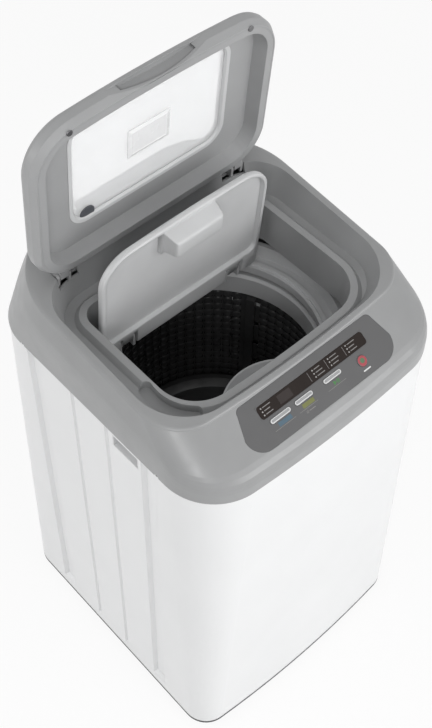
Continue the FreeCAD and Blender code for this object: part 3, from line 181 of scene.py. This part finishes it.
# Outer lid: its lean and pane, the bumper's inner head and the bare plate with its sunk middle
lid_lean = 5.0
pane_thick = 0.004
plug_radius = 0.0115
plug_thick = 0.0014
plug_bevel = 0.0006
plug_steps = 40
plate_width = 0.066
plate_height = 0.047
plate_thick = 0.0022
plate_edge = 0.00077
plate_bevel = 0.0055
plate_step = 0.006325
plate_middle = 0.00176

# Colours, as linear values
white_paint = (0.84, 0.845, 0.85)
cover_grey = (0.315, 0.318, 0.321)
grip_white = (0.72, 0.725, 0.73)
lid_grey = (0.36, 0.363, 0.367)
inner_lid_grey = (0.62, 0.625, 0.63)
ring_grey = (0.52, 0.525, 0.53)
seal_grey = (0.60, 0.605, 0.61)
panel_grey = (0.105, 0.105, 0.107)
strip_brown = (0.022, 0.016, 0.014)
readout_brown = (0.045, 0.037, 0.035)
key_grey = (0.34, 0.345, 0.35)
power_grey = (0.17, 0.17, 0.172)
basket_black = (0.05, 0.05, 0.051)
dark_plastic = (0.045, 0.046, 0.05)
tub_white = (0.58, 0.59, 0.585)
rubber_black = (0.022, 0.022, 0.023)
bumper_grey = (0.07, 0.075, 0.085)
# Screws: dark grey as painted shade, standing in for the shade in the cover's screw notches; the lid screws
# share it
screw_notch_shade_grey = (0.20, 0.20, 0.205)
steel_grey = (0.56, 0.56, 0.57)
alloy_grey = (0.62, 0.62, 0.63)
motor_grey = (0.06, 0.062, 0.066)
pane_white = (0.96, 0.965, 0.97)
plate_white = (0.92, 0.925, 0.93)
floor_white = (0.86, 0.86, 0.86)

# Finishes: sizes of clouds, grain and rounding in metres, the rest as shares
noise_low = 0.3
noise_high = 0.7
rounding_samples = 4
plastic_wander = 0.05
plastic_coat_rough = 0.12
paint_cloud = 0.12
paint_share = 0.012
paint_gloss_cloud = 0.05
paint_wander = 0.04
paint_coat = 0.25
paint_coat_rough = 0.2
paint_edge = 0.0012
peel_size = 0.0035
peel_strength = 0.05
peel_depth = 0.0004
metal_cloud = 0.02
metal_share = 0.06
metal_smoother = 0.08
metal_rougher = 0.1
metal_strength = 0.12
metal_edge = 0.0006
even_grain = (1, 1, 1)
drawn_grain = (1, 1, 0.02)
pane_cloud = 0.08
pane_share = 0.01
pane_edge = 0.001
ripple_size = 0.03
ripple_strength = 0.03
ripple_depth = 0.0005


# Materials

def new_material(name):
    mat = bpy.data.materials.new(name)
    mat.use_nodes = True
    return mat, mat.node_tree, mat.node_tree.nodes["Principled BSDF"]


def noise(tree, size, stretch=even_grain, detail=3.0):
    """Noise in the object's own space, with features about as large as size."""
    place = tree.nodes.new("ShaderNodeTexCoord")
    mapping = tree.nodes.new("ShaderNodeMapping")
    mapping.inputs["Scale"].default_value = stretch
    texture = tree.nodes.new("ShaderNodeTexNoise")
    texture.inputs["Scale"].default_value = 1.0 / size
    texture.inputs["Detail"].default_value = detail
    tree.links.new(place.outputs["Object"], mapping.inputs["Vector"])
    tree.links.new(mapping.outputs["Vector"], texture.inputs["Vector"])
    return texture.outputs["Fac"]


def spread(tree, value, low, high):
    """Stretches the middle of a noise to a range."""
    ramp = tree.nodes.new("ShaderNodeMapRange")
    ramp.inputs["From Min"].default_value = noise_low
    ramp.inputs["From Max"].default_value = noise_high
    ramp.inputs["To Min"].default_value = low
    ramp.inputs["To Max"].default_value = high
    tree.links.new(value, ramp.inputs["Value"])
    return ramp.outputs["Result"]


def tint(tree, value, colour, share):
    """Colour that wanders by a share of itself with a noise."""
    mixer = tree.nodes.new("ShaderNodeMix")
    mixer.data_type = "RGBA"
    dark, pale = [socket for socket in mixer.inputs if socket.type == "RGBA"]
    dark.default_value = [c * (1 - share) for c in colour] + [1]
    pale.default_value = [min(1.0, c * (1 + share)) for c in colour] + [1]
    tree.links.new(spread(tree, value, 0, 1), mixer.inputs["Factor"])
    return next(socket for socket in mixer.outputs if socket.type == "RGBA")


def relief(tree, value, strength, depth, edge):
    """Surface relief from a noise, over slightly rounded edges."""
    rounding = tree.nodes.new("ShaderNodeBevel")
    rounding.samples = rounding_samples
    rounding.inputs["Radius"].default_value = edge
    bump = tree.nodes.new("ShaderNodeBump")
    bump.inputs["Strength"].default_value = strength
    bump.inputs["Distance"].default_value = depth
    tree.links.new(value, bump.inputs["Height"])
    tree.links.new(rounding.outputs["Normal"], bump.inputs["Normal"])
    return bump.outputs["Normal"]


def moulded(name, colour, rough, grain=0.0005, strength=0.12, share=0.035, coat=0.0, edge=0.0009, cloud=0.06,
            gloss=0.5):
    """Moulded plastic: fine spark grain, faint clouds of colour and uneven gloss."""
    mat, tree, shader = new_material(name)
    link = tree.links.new
    uneven = spread(tree, noise(tree, cloud / 3), rough - plastic_wander, rough + plastic_wander)
    link(tint(tree, noise(tree, cloud), colour, share), shader.inputs["Base Color"])
    link(uneven, shader.inputs["Roughness"])
    link(relief(tree, noise(tree, grain), strength, grain / 2, edge), shader.inputs["Normal"])
    shader.inputs["Specular IOR Level"].default_value = gloss
    shader.inputs["Coat Weight"].default_value = coat
    shader.inputs["Coat Roughness"].default_value = plastic_coat_rough
    return mat


def painted(name, colour, rough):
    """Baked paint on sheet: a faint orange peel under a clear coat."""
    mat, tree, shader = new_material(name)
    link = tree.links.new
    uneven = spread(tree, noise(tree, paint_gloss_cloud), rough - paint_wander, rough + paint_wander)
    peel = noise(tree, peel_size, detail=1.0)
    link(tint(tree, noise(tree, paint_cloud), colour, paint_share), shader.inputs["Base Color"])
    link(uneven, shader.inputs["Roughness"])
    link(relief(tree, peel, peel_strength, peel_depth, paint_edge), shader.inputs["Normal"])
    shader.inputs["Coat Weight"].default_value = paint_coat
    shader.inputs["Coat Roughness"].default_value = paint_coat_rough
    return mat


def metal(name, colour, rough, stretch=drawn_grain, grain=0.0008):
    """Bare metal with a drawn or an even grain."""
    mat, tree, shader = new_material(name)
    link = tree.links.new
    lines = noise(tree, grain, stretch)
    uneven = spread(tree, lines, rough - metal_smoother, rough + metal_rougher)
    link(tint(tree, noise(tree, metal_cloud), colour, metal_share), shader.inputs["Base Color"])
    link(uneven, shader.inputs["Roughness"])
    link(relief(tree, lines, metal_strength, grain / 3, metal_edge), shader.inputs["Normal"])
    shader.inputs["Metallic"].default_value = 1.0
    return mat


def clear(name, colour, rough, through, bend):
    """Hazy moulded pane with a faint ripple: the share through lets light pass."""
    mat, tree, shader = new_material(name)
    link = tree.links.new
    ripple = noise(tree, ripple_size, detail=1.0)
    link(tint(tree, noise(tree, pane_cloud), colour, pane_share), shader.inputs["Base Color"])
    link(relief(tree, ripple, ripple_strength, ripple_depth, pane_edge), shader.inputs["Normal"])
    shader.inputs["Roughness"].default_value = rough
    shader.inputs["Transmission Weight"].default_value = through
    shader.inputs["IOR"].default_value = bend
    return mat


def printed(name, colour):
    """Screen print: nearly flat ink with a slight grain."""
    return moulded(name, colour, rough=0.45, grain=0.0003, strength=0.05, share=0.04, edge=0.0002,
                   cloud=0.004)


finishes = {
    painted("white sheet", white_paint, rough=0.32): ["cabinet_shell", "back_panel"],
    moulded("cover grey", cover_grey, rough=0.34): ["top_cover"],
    moulded("grip white", grip_white, rough=0.4): ["hand_grips"],
    moulded("lid grey", lid_grey, rough=0.42): ["lid_frame", "lid_liner", "hinge_brackets"],
    moulded("inner lid grey", inner_lid_grey, rough=0.36, edge=0.003): ["inner_lid"],
    moulded("tub ring grey", ring_grey, rough=0.38): ["tub_cover", "balance_ring"],
    moulded("seal band", seal_grey, rough=0.5, grain=0.0009, strength=0.2): ["lid_gasket"],
    moulded("panel grey", panel_grey, rough=0.36, grain=0.0004, strength=0.06): ["control_fascia"],
    moulded("strip brown", strip_brown, rough=0.34, strength=0.02, share=0.08, gloss=0.15): [
        "display_strip"],
    moulded("key grey", key_grey, rough=0.3, edge=0.0004, cloud=0.01): [
        "key_left", "key_middle", "key_right"],
    moulded("power grey", power_grey, rough=0.3, edge=0.0004, cloud=0.01): ["key_power"],
    moulded("basket black", basket_black, rough=0.16, strength=0.05, share=0.2): ["basket", "pulsator"],
    moulded("dark plastic", dark_plastic, rough=0.5): [
        "base_frame", "control_board", "level_sensor", "lid_switch", "cord_gland"],
    moulded("tub white", tub_white, rough=0.5): [
        "outer_tub", "suspension_cups", "drain_outlet", "inlet_valve", "fill_duct", "drain_pump"],
    moulded("black rubber", rubber_black, rough=0.75, strength=0.3, share=0.15): [
        "feet", "shaft_seal", "drive_belt"],
    moulded("bumper rubber", bumper_grey, rough=0.6, strength=0.2): ["lid_bumper"],
    # Screw steel darkened as painted shade for the cover's screw notches; the lid screws share it
    metal("steel darkened as notch shade", screw_notch_shade_grey, rough=0.4): ["cover_screws", "lid_screws"],
    metal("steel", steel_grey, rough=0.3): [
        "back_screws", "hinge_pins", "inner_lid_pins", "corner_hangers", "suspension_rods",
        "suspension_springs", "spin_tube", "pulsator_shaft", "motor_shaft", "clutch", "bearings",
        "motor_plate"],
    metal("cast alloy", alloy_grey, rough=0.45, stretch=even_grain, grain=0.0015): [
        "bearing_housing", "basket_hub", "driven_pulley", "motor_pulley", "capacitor"],
    painted("motor paint", motor_grey, rough=0.4): ["motor"],
    clear("clear pane", pane_white, rough=0.03, through=0.50, bend=1.05): ["lid_window"],
}
for finish, members in finishes.items():
    for member in members:
        nodes[member].data.materials.clear()
        nodes[member].data.materials.append(finish)

ink_white = printed("white ink", (0.72, 0.72, 0.72))
ink_pale = printed("pale ink", (0.42, 0.41, 0.40))
ink_grey = printed("grey ink", (0.24, 0.23, 0.225))
ink_blue = printed("blue ink", (0.07, 0.125, 0.17))
ink_lime = printed("lime ink", (0.17, 0.18, 0.055))
ink_green = printed("green ink", (0.06, 0.22, 0.06))
ink_dim_green = printed("dim green ink", (0.09, 0.17, 0.09))
ink_red = printed("red ink", (0.37, 0.06, 0.075))
readout_glass = moulded("readout glass", readout_brown, rough=0.2, strength=0.02, edge=0.0003, gloss=0.2)
plate_finish = moulded("bare plate", plate_white, rough=0.25, strength=0.03, share=0.02, coat=0.4,
                       edge=0.0006)


def finish_of(node):
    return nodes[node].data.materials[0]


# Meshes

square = ((-1, -1), (1, -1), (1, 1), (-1, 1))


def stacked(loops):
    """Corners and faces of a closed body through loops of points, from its foot to its head."""
    count = len(loops[0])
    last = (len(loops) - 1) * count
    faces = [tuple(reversed(range(count))), tuple(range(last, last + count))]
    for k in range(0, last, count):
        for i in range(count):
            j = (i + 1) % count
            faces.append((k + i, k + j, k + count + j, k + count + i))
    return [place for loop in loops for place in loop], faces


def turned(body):
    """The same body with its faces turned round, for loops that run the other way."""
    verts, faces = body
    return verts, [face[:1] + face[:0:-1] for face in faces]


def joined(bodies):
    """Corners and faces of several bodies as one."""
    verts = []
    faces = []
    for corners, sides in bodies:
        first = len(verts)
        verts += corners
        faces += [tuple(first + i for i in side) for side in sides]
    return verts, faces


def piece(name, verts, faces, finish, body, slot):
    """New visible piece, in the frame's own place, that rides on a body."""
    mesh = bpy.data.meshes.new(name)
    mesh.from_pydata(verts, [], faces)
    mesh.validate()
    mesh.update()
    mesh.materials.append(finish)
    obj = bpy.data.objects.new(name, mesh)
    scene.collection.objects.link(obj)
    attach(obj, body)
    return obj


def shade_smooth(obj):
    obj.data.polygons.foreach_set("use_smooth", [True] * len(obj.data.polygons))


# Control panel: places on its sloping face, and printed marks

panel_up = -Vector(joints["key_left_press"]["axis"]).normalized()
panel_down = Vector((0, -panel_up.z, panel_up.y))
strip_low, strip_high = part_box("display_strip")
strip_top = Vector((0, strip_low.y - panel_down.y * strip_height, strip_high.z))
bpy.context.view_layer.update()


def on_panel(node, x, down, lift):
    """Point on a panel piece, by its place across and down from the strip's upper edge."""
    above = strip_top + Vector((x, 0, 0)) + panel_down * down + panel_up * probe_lift
    hit, place = nodes[node].ray_cast(above, -panel_up)[:2]
    return (place if hit else above - panel_up * probe_lift) + panel_up * lift


def mark(name, node, points, finish, body="body"):
    """Printed mark with the given outline, in panel coordinates."""
    rings = [[on_panel(node, x, down, lift) for x, down in points] for lift in (-mark_lift, mark_lift)]
    return piece(name, *stacked(rings), finish, body, "key_plastic")


def band_mark(name, node, outlines, finish, body, slot):
    """Printed band on a domed face, across outlines from the outer to the inner one."""
    steps = len(outlines[0])
    raised = [(mark_lift, outline) for outline in outlines]
    sunk = [(-mark_lift, outline) for outline in reversed(outlines)]
    verts = [on_panel(node, x, down, lift) for lift, outline in raised + sunk for x, down in outline]
    faces = []
    loops = len(raised + sunk)
    for a in range(loops):
        b = (a + 1) % loops
        for i in range(steps):
            j = (i + 1) % steps
            faces.append((a * steps + i, b * steps + i, b * steps + j, a * steps + j))
    return piece(name, verts, faces, finish, body, slot)


def bar(x, down, half, height):
    """Outline of a bar that follows the bowed panel."""
    across = [x - half + 2 * half * i / mark_steps for i in range(mark_steps + 1)]
    upper = [(a, down - height / 2) for a in across]
    lower = [(a, down + height / 2) for a in reversed(across)]
    return upper + lower


def circle(x, down, radius):
    """Outline of a circle, in panel coordinates."""
    turns = [2 * math.pi * i / ring_steps for i in range(ring_steps)]
    return [(x + radius * math.cos(a), down + radius * math.sin(a)) for a in turns]


def key_middle_of(node):
    """Middle of a key, in panel coordinates."""
    low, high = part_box(node)
    middle = (low + high) / 2
    return middle.x, (middle - strip_top).dot(panel_down)


def half_length_of(node):
    low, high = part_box(node)
    return (high.x - low.x) / 2


def pill(node, inset):
    """Outline of a pill-shaped key's cap, drawn in by an inset."""
    x, down = key_middle_of(node)
    places = [vert.co for vert in nodes[node].data.vertices]
    top = max(place.dot(panel_up) for place in places)
    cap = [place for place in places if place.dot(panel_up) > top - cap_depth]
    downs = [(place - strip_top).dot(panel_down) for place in cap]
    acrosses = [place.x for place in cap]
    round_end = (max(downs) - min(downs)) / 2
    straight = (max(acrosses) - min(acrosses)) / 2 - round_end
    radius = round_end - inset
    points = []
    for side in (1, -1):
        for i in range(pill_steps + 1):
            a = math.pi * i / pill_steps - math.pi / 2
            points.append((x + side * (straight + radius * math.cos(a)), down + side * radius * math.sin(a)))
    return points


def strip_marks():
    """Lamps, lines, dividers and the readout on the display strip."""
    for group, x in enumerate(led_groups):
        for row in range(led_rows):
            down = led_first + row * led_pitch
            half = dash_lengths[(row + group) % len(dash_lengths)] / 2
            lamp = bar(x, down, led_size / 2, led_size)
            dash = bar(x + dash_gap + half, down, half, dash_height)
            mark(f"led_{group}_{row}", "display_strip", lamp, ink_pale)
            mark(f"dash_{group}_{row}", "display_strip", dash, ink_grey)
    middle = strip_height / 2
    for i, x in enumerate(divider_places):
        mark(f"divider_{i}", "display_strip", bar(x, middle, divider_half, divider_height), ink_grey)
    readout = bar(readout_middle, middle, readout_half, readout_height)
    mark("readout", "display_strip", readout, readout_glass)


def start_marks(x, down):
    """Triangle and two bars under the start key."""
    s = start_size
    triangle = [(x - s, down - s), (x + s * start_tip, down), (x - s, down + s)]
    mark("start_mark", "control_fascia", triangle, ink_green)
    for place in pause_places:
        stroke = bar(x + s * place, down, s * pause_half, s * pause_height)
        mark(f"pause_mark_{place:.0f}", "control_fascia", stroke, ink_green)


def key_labels():
    """Colour blocks, the start mark and thin lines under the pill keys."""
    for node, ink in (("key_left", ink_blue), ("key_middle", ink_lime), ("key_right", ink_green)):
        x, down = key_middle_of(node)
        reach = half_length_of(node)
        if node == "key_right":
            start_marks(x, down + label_drop)
        else:
            label = bar(x + reach * label_off, down + label_drop, reach * label_half, label_height)
            mark(f"label_{node}", "control_fascia", label, ink)
        line = bar(x, down + underline_drop, reach * underline_half, underline_height)
        mark(f"underline_{node}", "control_fascia", line, ink_grey)


def strip_corners():
    """Printed mask over the display strip's corners, which leaves them round."""
    outline = [(-strip_margin, -strip_margin), (-strip_margin, strip_corner)]
    for i in range(strip_corner_steps + 1):
        a = math.pi / 2 * i / strip_corner_steps
        outline.append((strip_corner * (1 - math.cos(a)), strip_corner * (1 - math.sin(a))))
    outline.append((strip_corner, -strip_margin))
    for right in (0, 1):
        for lower in (0, 1):
            x = strip_high.x if right else strip_low.x
            down = strip_height if lower else 0
            across = -1 if right else 1
            along = -1 if lower else 1
            places = [on_panel("control_fascia", x + across * u, down + along * v, 0) for u, v in outline]
            level = places[0].dot(panel_up)
            rings = [[place + panel_up * (level + lift - place.dot(panel_up)) for place in places]
                     for lift in (-mark_lift, mark_lift)]
            name = f"strip_corner_{right}_{lower}"
            piece(name, *stacked(rings), finish_of("control_fascia"), "body", "key_plastic")


def power_marks():
    """Label under the power key, and the ring and dot on its face."""
    x, down = key_middle_of("key_power")
    radius = half_length_of("key_power")
    step = (ring_inner - ring_outer) / ring_bands
    edges = [circle(x, down, radius * (ring_outer + step * i)) for i in range(ring_bands + 1)]
    label = bar(x, down + power_label_drop, power_label_half, power_label_height)
    mark("power_label", "control_fascia", label, ink_white)
    band_mark("power_ring", "key_power", edges, ink_red, "key_power", "power_plastic")
    mark("power_dot", "key_power", edges[-1], ink_dim_green, "key_power")


def lock_marks():
    """Small ring and line under the middle key's label."""
    x, down = key_middle_of("key_middle")
    x += lock_across
    down += lock_drop
    edges = [circle(x, down, radius) for radius in (lock_ring, lock_ring - lock_ring_width)]
    half = lock_dash / 2
    band_mark("lock_ring", "control_fascia", edges, ink_grey, "body", "key_plastic")
    dash = bar(x + lock_ring + dash_gap / 2 + half, down, half, dash_height)
    mark("lock_dash", "control_fascia", dash, ink_grey)


def key_outlines():
    """White line round each pill key's cap."""
    for node in ("key_left", "key_middle", "key_right"):
        insets = [outline_inset + outline_width * i / outline_bands for i in range(outline_bands + 1)]
        edges = [pill(node, inset) for inset in insets]
        band_mark(f"outline_{node}", node, edges, ink_white, node, "key_plastic")


strip_marks()
key_labels()
strip_corners()
power_marks()
lock_marks()
key_outlines()


# Raised squares on the basket's inner wall

def bump(out, along, radius, middle):
    """One raised square, from inside the wall to its flat head."""
    loops = []
    for half, height in bump_rings:
        centre = out * (radius - height) + Vector((0, 0, middle))
        loops.append([centre + along * (sx * half) + Vector((0, 0, sz * half))
                      for sx, sz in reversed(square)])
    return stacked(loops)


def basket_bumps():
    low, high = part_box("basket")
    radius = high.x - basket_wall
    bottom = low.z + wall_foot
    row_pitch = (high.z - wall_head - bottom) / (bump_rows - 1)
    bodies = []
    for column in range(bump_columns):
        degrees = 360 * (column + 0.5) / bump_columns
        off_column = (degrees - column_turn + column_clear) % (360 / column_count)
        if off_column < 2 * column_clear:
            continue
        a = math.radians(degrees)
        out = Vector((math.cos(a), math.sin(a), 0))
        along = Vector((-math.sin(a), math.cos(a), 0))
        bodies += [bump(out, along, radius, bottom + row * row_pitch) for row in range(bump_rows)]
    shade_smooth(piece("basket_bumps", *joined(bodies), finish_of("basket"), "drum", "dark_plastic"))


basket_bumps()


# Wound springs under the tub's cups

def coil(x, y, low, high):
    """One closed coil of round wire, standing on low and ending at high."""
    wire = coil_wire / 2
    rings = coil_turns * coil_steps
    turns = [2 * math.pi * k / coil_sides for k in range(coil_sides)]
    loops = []
    for i in range(rings + 1):
        a = 2 * math.pi * i / coil_steps
        out = Vector((math.cos(a), math.sin(a), 0))
        rise = low + wire + (high - low - coil_wire) * i / rings
        centre = Vector((x, y, rise)) + out * (coil_outer - wire)
        loops.append([centre + out * (wire * math.cos(b)) + Vector((0, 0, wire * math.sin(b)))
                      for b in turns])
    return turned(stacked(loops))


def suspension_coils():
    low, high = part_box("suspension_springs")
    bodies = [coil(x, y, low.z, high.z) for x in (low.x + coil_outer, high.x - coil_outer)
              for y in (low.y + coil_outer, high.y - coil_outer)]
    coils = piece("suspension_coils", *joined(bodies), finish_of("suspension_springs"), "body", "steel")
    shade_smooth(coils)
    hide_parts("suspension_springs")
    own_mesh(coils)


suspension_coils()


# Inner lid with its moulded rim: the solid with a recess cut in its underside and a rounded finger pocket

inner_axis = Vector(joints["inner_lid_hinge"]["pos_m"])
inner_turn = math.radians(inner_open)
inner_out = Vector((0, -math.cos(inner_turn), math.sin(inner_turn)))
inner_back = Vector((0, math.sin(inner_turn), math.cos(inner_turn)))


def on_inner_lid(across, reach, above):
    """Point of the open inner lid, by its place across, out from the hinge and above it when closed."""
    return inner_axis + Vector((across, 0, 0)) + inner_out * reach + inner_back * above


def arc(x, reach, radius, start):
    """Quarter arc about a middle, turning left from a start angle."""
    turns = [math.radians(start + 90 * i / corner_steps) for i in range(corner_steps + 1)]
    return [(x + radius * math.cos(a), reach + radius * math.sin(a)) for a in turns]


def recess_outline(half, top, inset):
    """Outline of the recess: round corners, and a notch that leaves the finger pocket standing."""
    side = half - rim_width - inset
    head = top - rim_width - inset
    foot = recess_foot + inset
    round_top = recess_corner_top - inset
    round_low = recess_corner_low - inset
    spare = max(inset, 0)
    right = arc(side - round_low, foot + round_low, round_low, -90)
    right += arc(side - round_top, head - round_top, round_top, 0)
    right += [(pocket_half + spare, head), (pocket_half + spare, top - pocket_reach - spare)]
    return right + [(-x, reach) for x, reach in reversed(right)]


def recess_cutter(half, top):
    """Body that cuts the recess, from well clear of the underside to the recess's floor."""
    levels = ((-recess_draft, -inner_below - recess_depth), (recess_draft, recess_depth - inner_below))
    loops = []
    for inset, above in levels:
        loops.append([on_inner_lid(x, reach, above) for x, reach in recess_outline(half, top, inset)])
    count = len(loops[0])
    faces = [tuple(range(count)), tuple(reversed(range(count, 2 * count)))]
    faces += [((i + 1) % count, i, count + i, count + (i + 1) % count) for i in range(count)]
    mesh = bpy.data.meshes.new("recess")
    mesh.from_pydata(loops[0] + loops[1], [], faces)
    cutter = bpy.data.objects.new("recess", mesh)
    scene.collection.objects.link(cutter)
    return cutter


def welded_copy(node, name):
    """New object with a node's shape, its split corners joined again."""
    mesh = bpy.data.meshes.new(name)
    shape = bmesh.new()
    shape.from_mesh(nodes[node].data)
    bmesh.ops.remove_doubles(shape, verts=shape.verts, dist=weld_reach)
    shape.to_mesh(mesh)
    shape.free()
    obj = bpy.data.objects.new(name, mesh)
    scene.collection.objects.link(obj)
    return obj


def cut_away(obj, cutter):
    """Takes a cutter's room out of an object, unless nothing would be left, and removes the cutter."""
    cut = obj.modifiers.new("cut", "BOOLEAN")
    cut.operation = "DIFFERENCE"
    cut.solver = "EXACT"
    cut.object = cutter
    bpy.context.view_layer.update()
    shape = bpy.data.meshes.new_from_object(obj.evaluated_get(bpy.context.evaluated_depsgraph_get()))
    obj.modifiers.clear()
    if len(shape.polygons):
        obj.data = shape
    bpy.data.objects.remove(cutter)


def pocket_edges(shape, top):
    """Outer edges of the finger pocket, apart from the two that run out at the rim."""
    level = -inner_below - pocket_stand
    edges = []
    for edge in shape.edges:
        places = [vert.co - inner_axis for vert in edge.verts]
        aboves = [place.dot(inner_back) for place in places]
        reach = max(place.dot(inner_out) for place in places)
        stands = min(aboves) < level
        at_rim = max(aboves) > level and reach > top - pocket_run
        inside = max(abs(place.x) for place in places) < pocket_half
        sharp = edge.is_manifold and edge.calc_face_angle_signed() > math.radians(sharp_turn)
        if stands and inside and sharp and not at_rim:
            edges.append(edge)
    return edges


def round_pocket(mesh, top):
    """Rounds the finger pocket's edges, after the flat faces are made whole."""
    shape = bmesh.new()
    shape.from_mesh(mesh)
    flat = math.radians(flat_turn)
    bmesh.ops.dissolve_limit(shape, angle_limit=flat, verts=shape.verts, edges=shape.edges)
    bmesh.ops.bevel(shape, geom=pocket_edges(shape, top), offset=pocket_round, offset_type="OFFSET",
                    segments=pocket_steps, profile=pocket_profile, affect="EDGES", clamp_overlap=True)
    shape.to_mesh(mesh)
    shape.free()


def inner_lid_shell():
    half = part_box("inner_lid")[1].x
    top = max((vert.co - inner_axis).dot(inner_out) for vert in nodes["inner_lid"].data.vertices)
    shell = welded_copy("inner_lid", "inner_lid_shell")
    cut_away(shell, recess_cutter(half, top))
    mesh = shell.data
    round_pocket(mesh, top)
    mesh.polygons.foreach_set("use_smooth", [face.area < small_face for face in mesh.polygons])
    mesh.set_sharp_from_angle(angle=math.radians(sharp_turn))
    mesh.materials.clear()
    mesh.materials.append(finish_of("inner_lid"))
    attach(shell, "inner_lid")
    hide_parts("inner_lid")


inner_lid_shell()


# Bumper's inner head in the window's corner, and the bare plate in its middle

lid_turn = math.radians(lid_lean)
lid_up = Vector((0, -math.sin(lid_turn), math.cos(lid_turn)))
lid_out = Vector((0, -math.cos(lid_turn), -math.sin(lid_turn)))
pane_low, pane_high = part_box("lid_window")
pane_middle = (pane_low + pane_high) / 2 + lid_out * (pane_thick / 2)


def on_pane(centre, across, up, lift):
    """Point over the pane's inner face, by its place from a centre on it."""
    return centre + Vector((across, 0, 0)) + lid_up * up + lid_out * lift


def bumper_plug():
    low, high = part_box("lid_bumper")
    centre = (low + high) / 2
    centre += lid_out * (pane_middle - centre).dot(lid_out)
    turns = [2 * math.pi * i / plug_steps for i in range(plug_steps)]
    profile = ((plug_radius, 0), (plug_radius, plug_thick - plug_bevel),
               (plug_radius - plug_bevel, plug_thick))
    loops = [[on_pane(centre, radius * math.cos(a), radius * math.sin(a), lift) for a in turns]
             for radius, lift in profile]
    piece("bumper_plug", *stacked(loops), finish_of("lid_bumper"), "lid", "dark_rubber")


def window_plate():
    profile = ((0, 0), (0, plate_edge), (plate_bevel, plate_thick), (plate_step, plate_middle))
    loops = []
    for inset, lift in profile:
        half_width = plate_width / 2 - inset
        half_height = plate_height / 2 - inset
        loops.append([on_pane(pane_middle, sx * half_width, sz * half_height, lift) for sx, sz in square])
    piece("window_plate", *stacked(loops), plate_finish, "lid", "clear_pane")


bumper_plug()
window_plate()


# Floor, light and camera

def light_switch(tree):
    """1 for rays that show the background: from the camera, in gloss or through glass."""
    path = tree.nodes.new("ShaderNodeLightPath")
    total = path.outputs["Is Camera Ray"]
    for ray in ("Is Glossy Ray", "Is Transmission Ray"):
        either = tree.nodes.new("ShaderNodeMath")
        either.operation = "MAXIMUM"
        tree.links.new(total, either.inputs[0])
        tree.links.new(path.outputs[ray], either.inputs[1])
        total = either.outputs[0]
    return total


def studio_floor():
    """Pale floor that glows for the background's rays and keeps the object's shadow."""
    mesh = bpy.data.meshes.new("floor")
    mesh.from_pydata([(sx * floor_half, sy * floor_half, 0) for sx, sy in square], [], [(0, 1, 2, 3)])
    floor = bpy.data.objects.new("floor", mesh)
    scene.collection.objects.link(floor)
    mat, tree, shader = new_material("pale floor")
    shader.inputs["Roughness"].default_value = floor_rough
    shader.inputs["Specular IOR Level"].default_value = 0.0
    colour = tint(tree, noise(tree, floor_cloud), floor_white, floor_share)
    tree.links.new(colour, shader.inputs["Base Color"])
    glow = tree.nodes.new("ShaderNodeEmission")
    glow.inputs["Strength"].default_value = 1.0
    share = tree.nodes.new("ShaderNodeMath")
    share.operation = "MULTIPLY"
    share.inputs[1].default_value = floor_glow
    tree.links.new(light_switch(tree), share.inputs[0])
    blend = tree.nodes.new("ShaderNodeMixShader")
    tree.links.new(share.outputs[0], blend.inputs["Fac"])
    tree.links.new(shader.outputs["BSDF"], blend.inputs[1])
    tree.links.new(glow.outputs["Emission"], blend.inputs[2])
    tree.links.new(blend.outputs["Shader"], tree.nodes["Material Output"].inputs["Surface"])
    mesh.materials.append(mat)


def studio_world():
    """Even sky that lights the object at its level and shows as white."""
    world = bpy.data.worlds.new("studio")
    scene.world = world
    world.use_nodes = True
    tree = world.node_tree
    sky = tree.nodes["Background"]
    sky.inputs["Color"].default_value = (1, 1, 1, 1)
    strength = tree.nodes.new("ShaderNodeMapRange")
    strength.inputs["To Min"].default_value = sky_level
    strength.inputs["To Max"].default_value = 1.0
    tree.links.new(light_switch(tree), strength.inputs["Value"])
    tree.links.new(strength.outputs["Result"], sky.inputs["Strength"])


def softbox(name, place, target, size, power):
    data = bpy.data.lights.new(name, "AREA")
    data.shape = "RECTANGLE"
    data.size, data.size_y = size
    data.energy = power
    lamp = bpy.data.objects.new(name, data)
    lamp.location = place
    lamp.rotation_euler = (Vector(target) - Vector(place)).to_track_quat("-Z", "Y").to_euler()
    scene.collection.objects.link(lamp)


def studio_camera():
    data = bpy.data.cameras.new("camera")
    data.sensor_width = camera_sensor
    data.lens = camera_lens
    data.shift_x, data.shift_y = camera_shift
    camera = bpy.data.objects.new("camera", data)
    camera.location = camera_place
    camera.rotation_euler = (math.radians(90 - camera_down), 0, math.radians(camera_turn))
    scene.collection.objects.link(camera)
    scene.camera = camera


studio_floor()
studio_world()
for lamp in lamps:
    softbox(*lamp)
studio_camera()
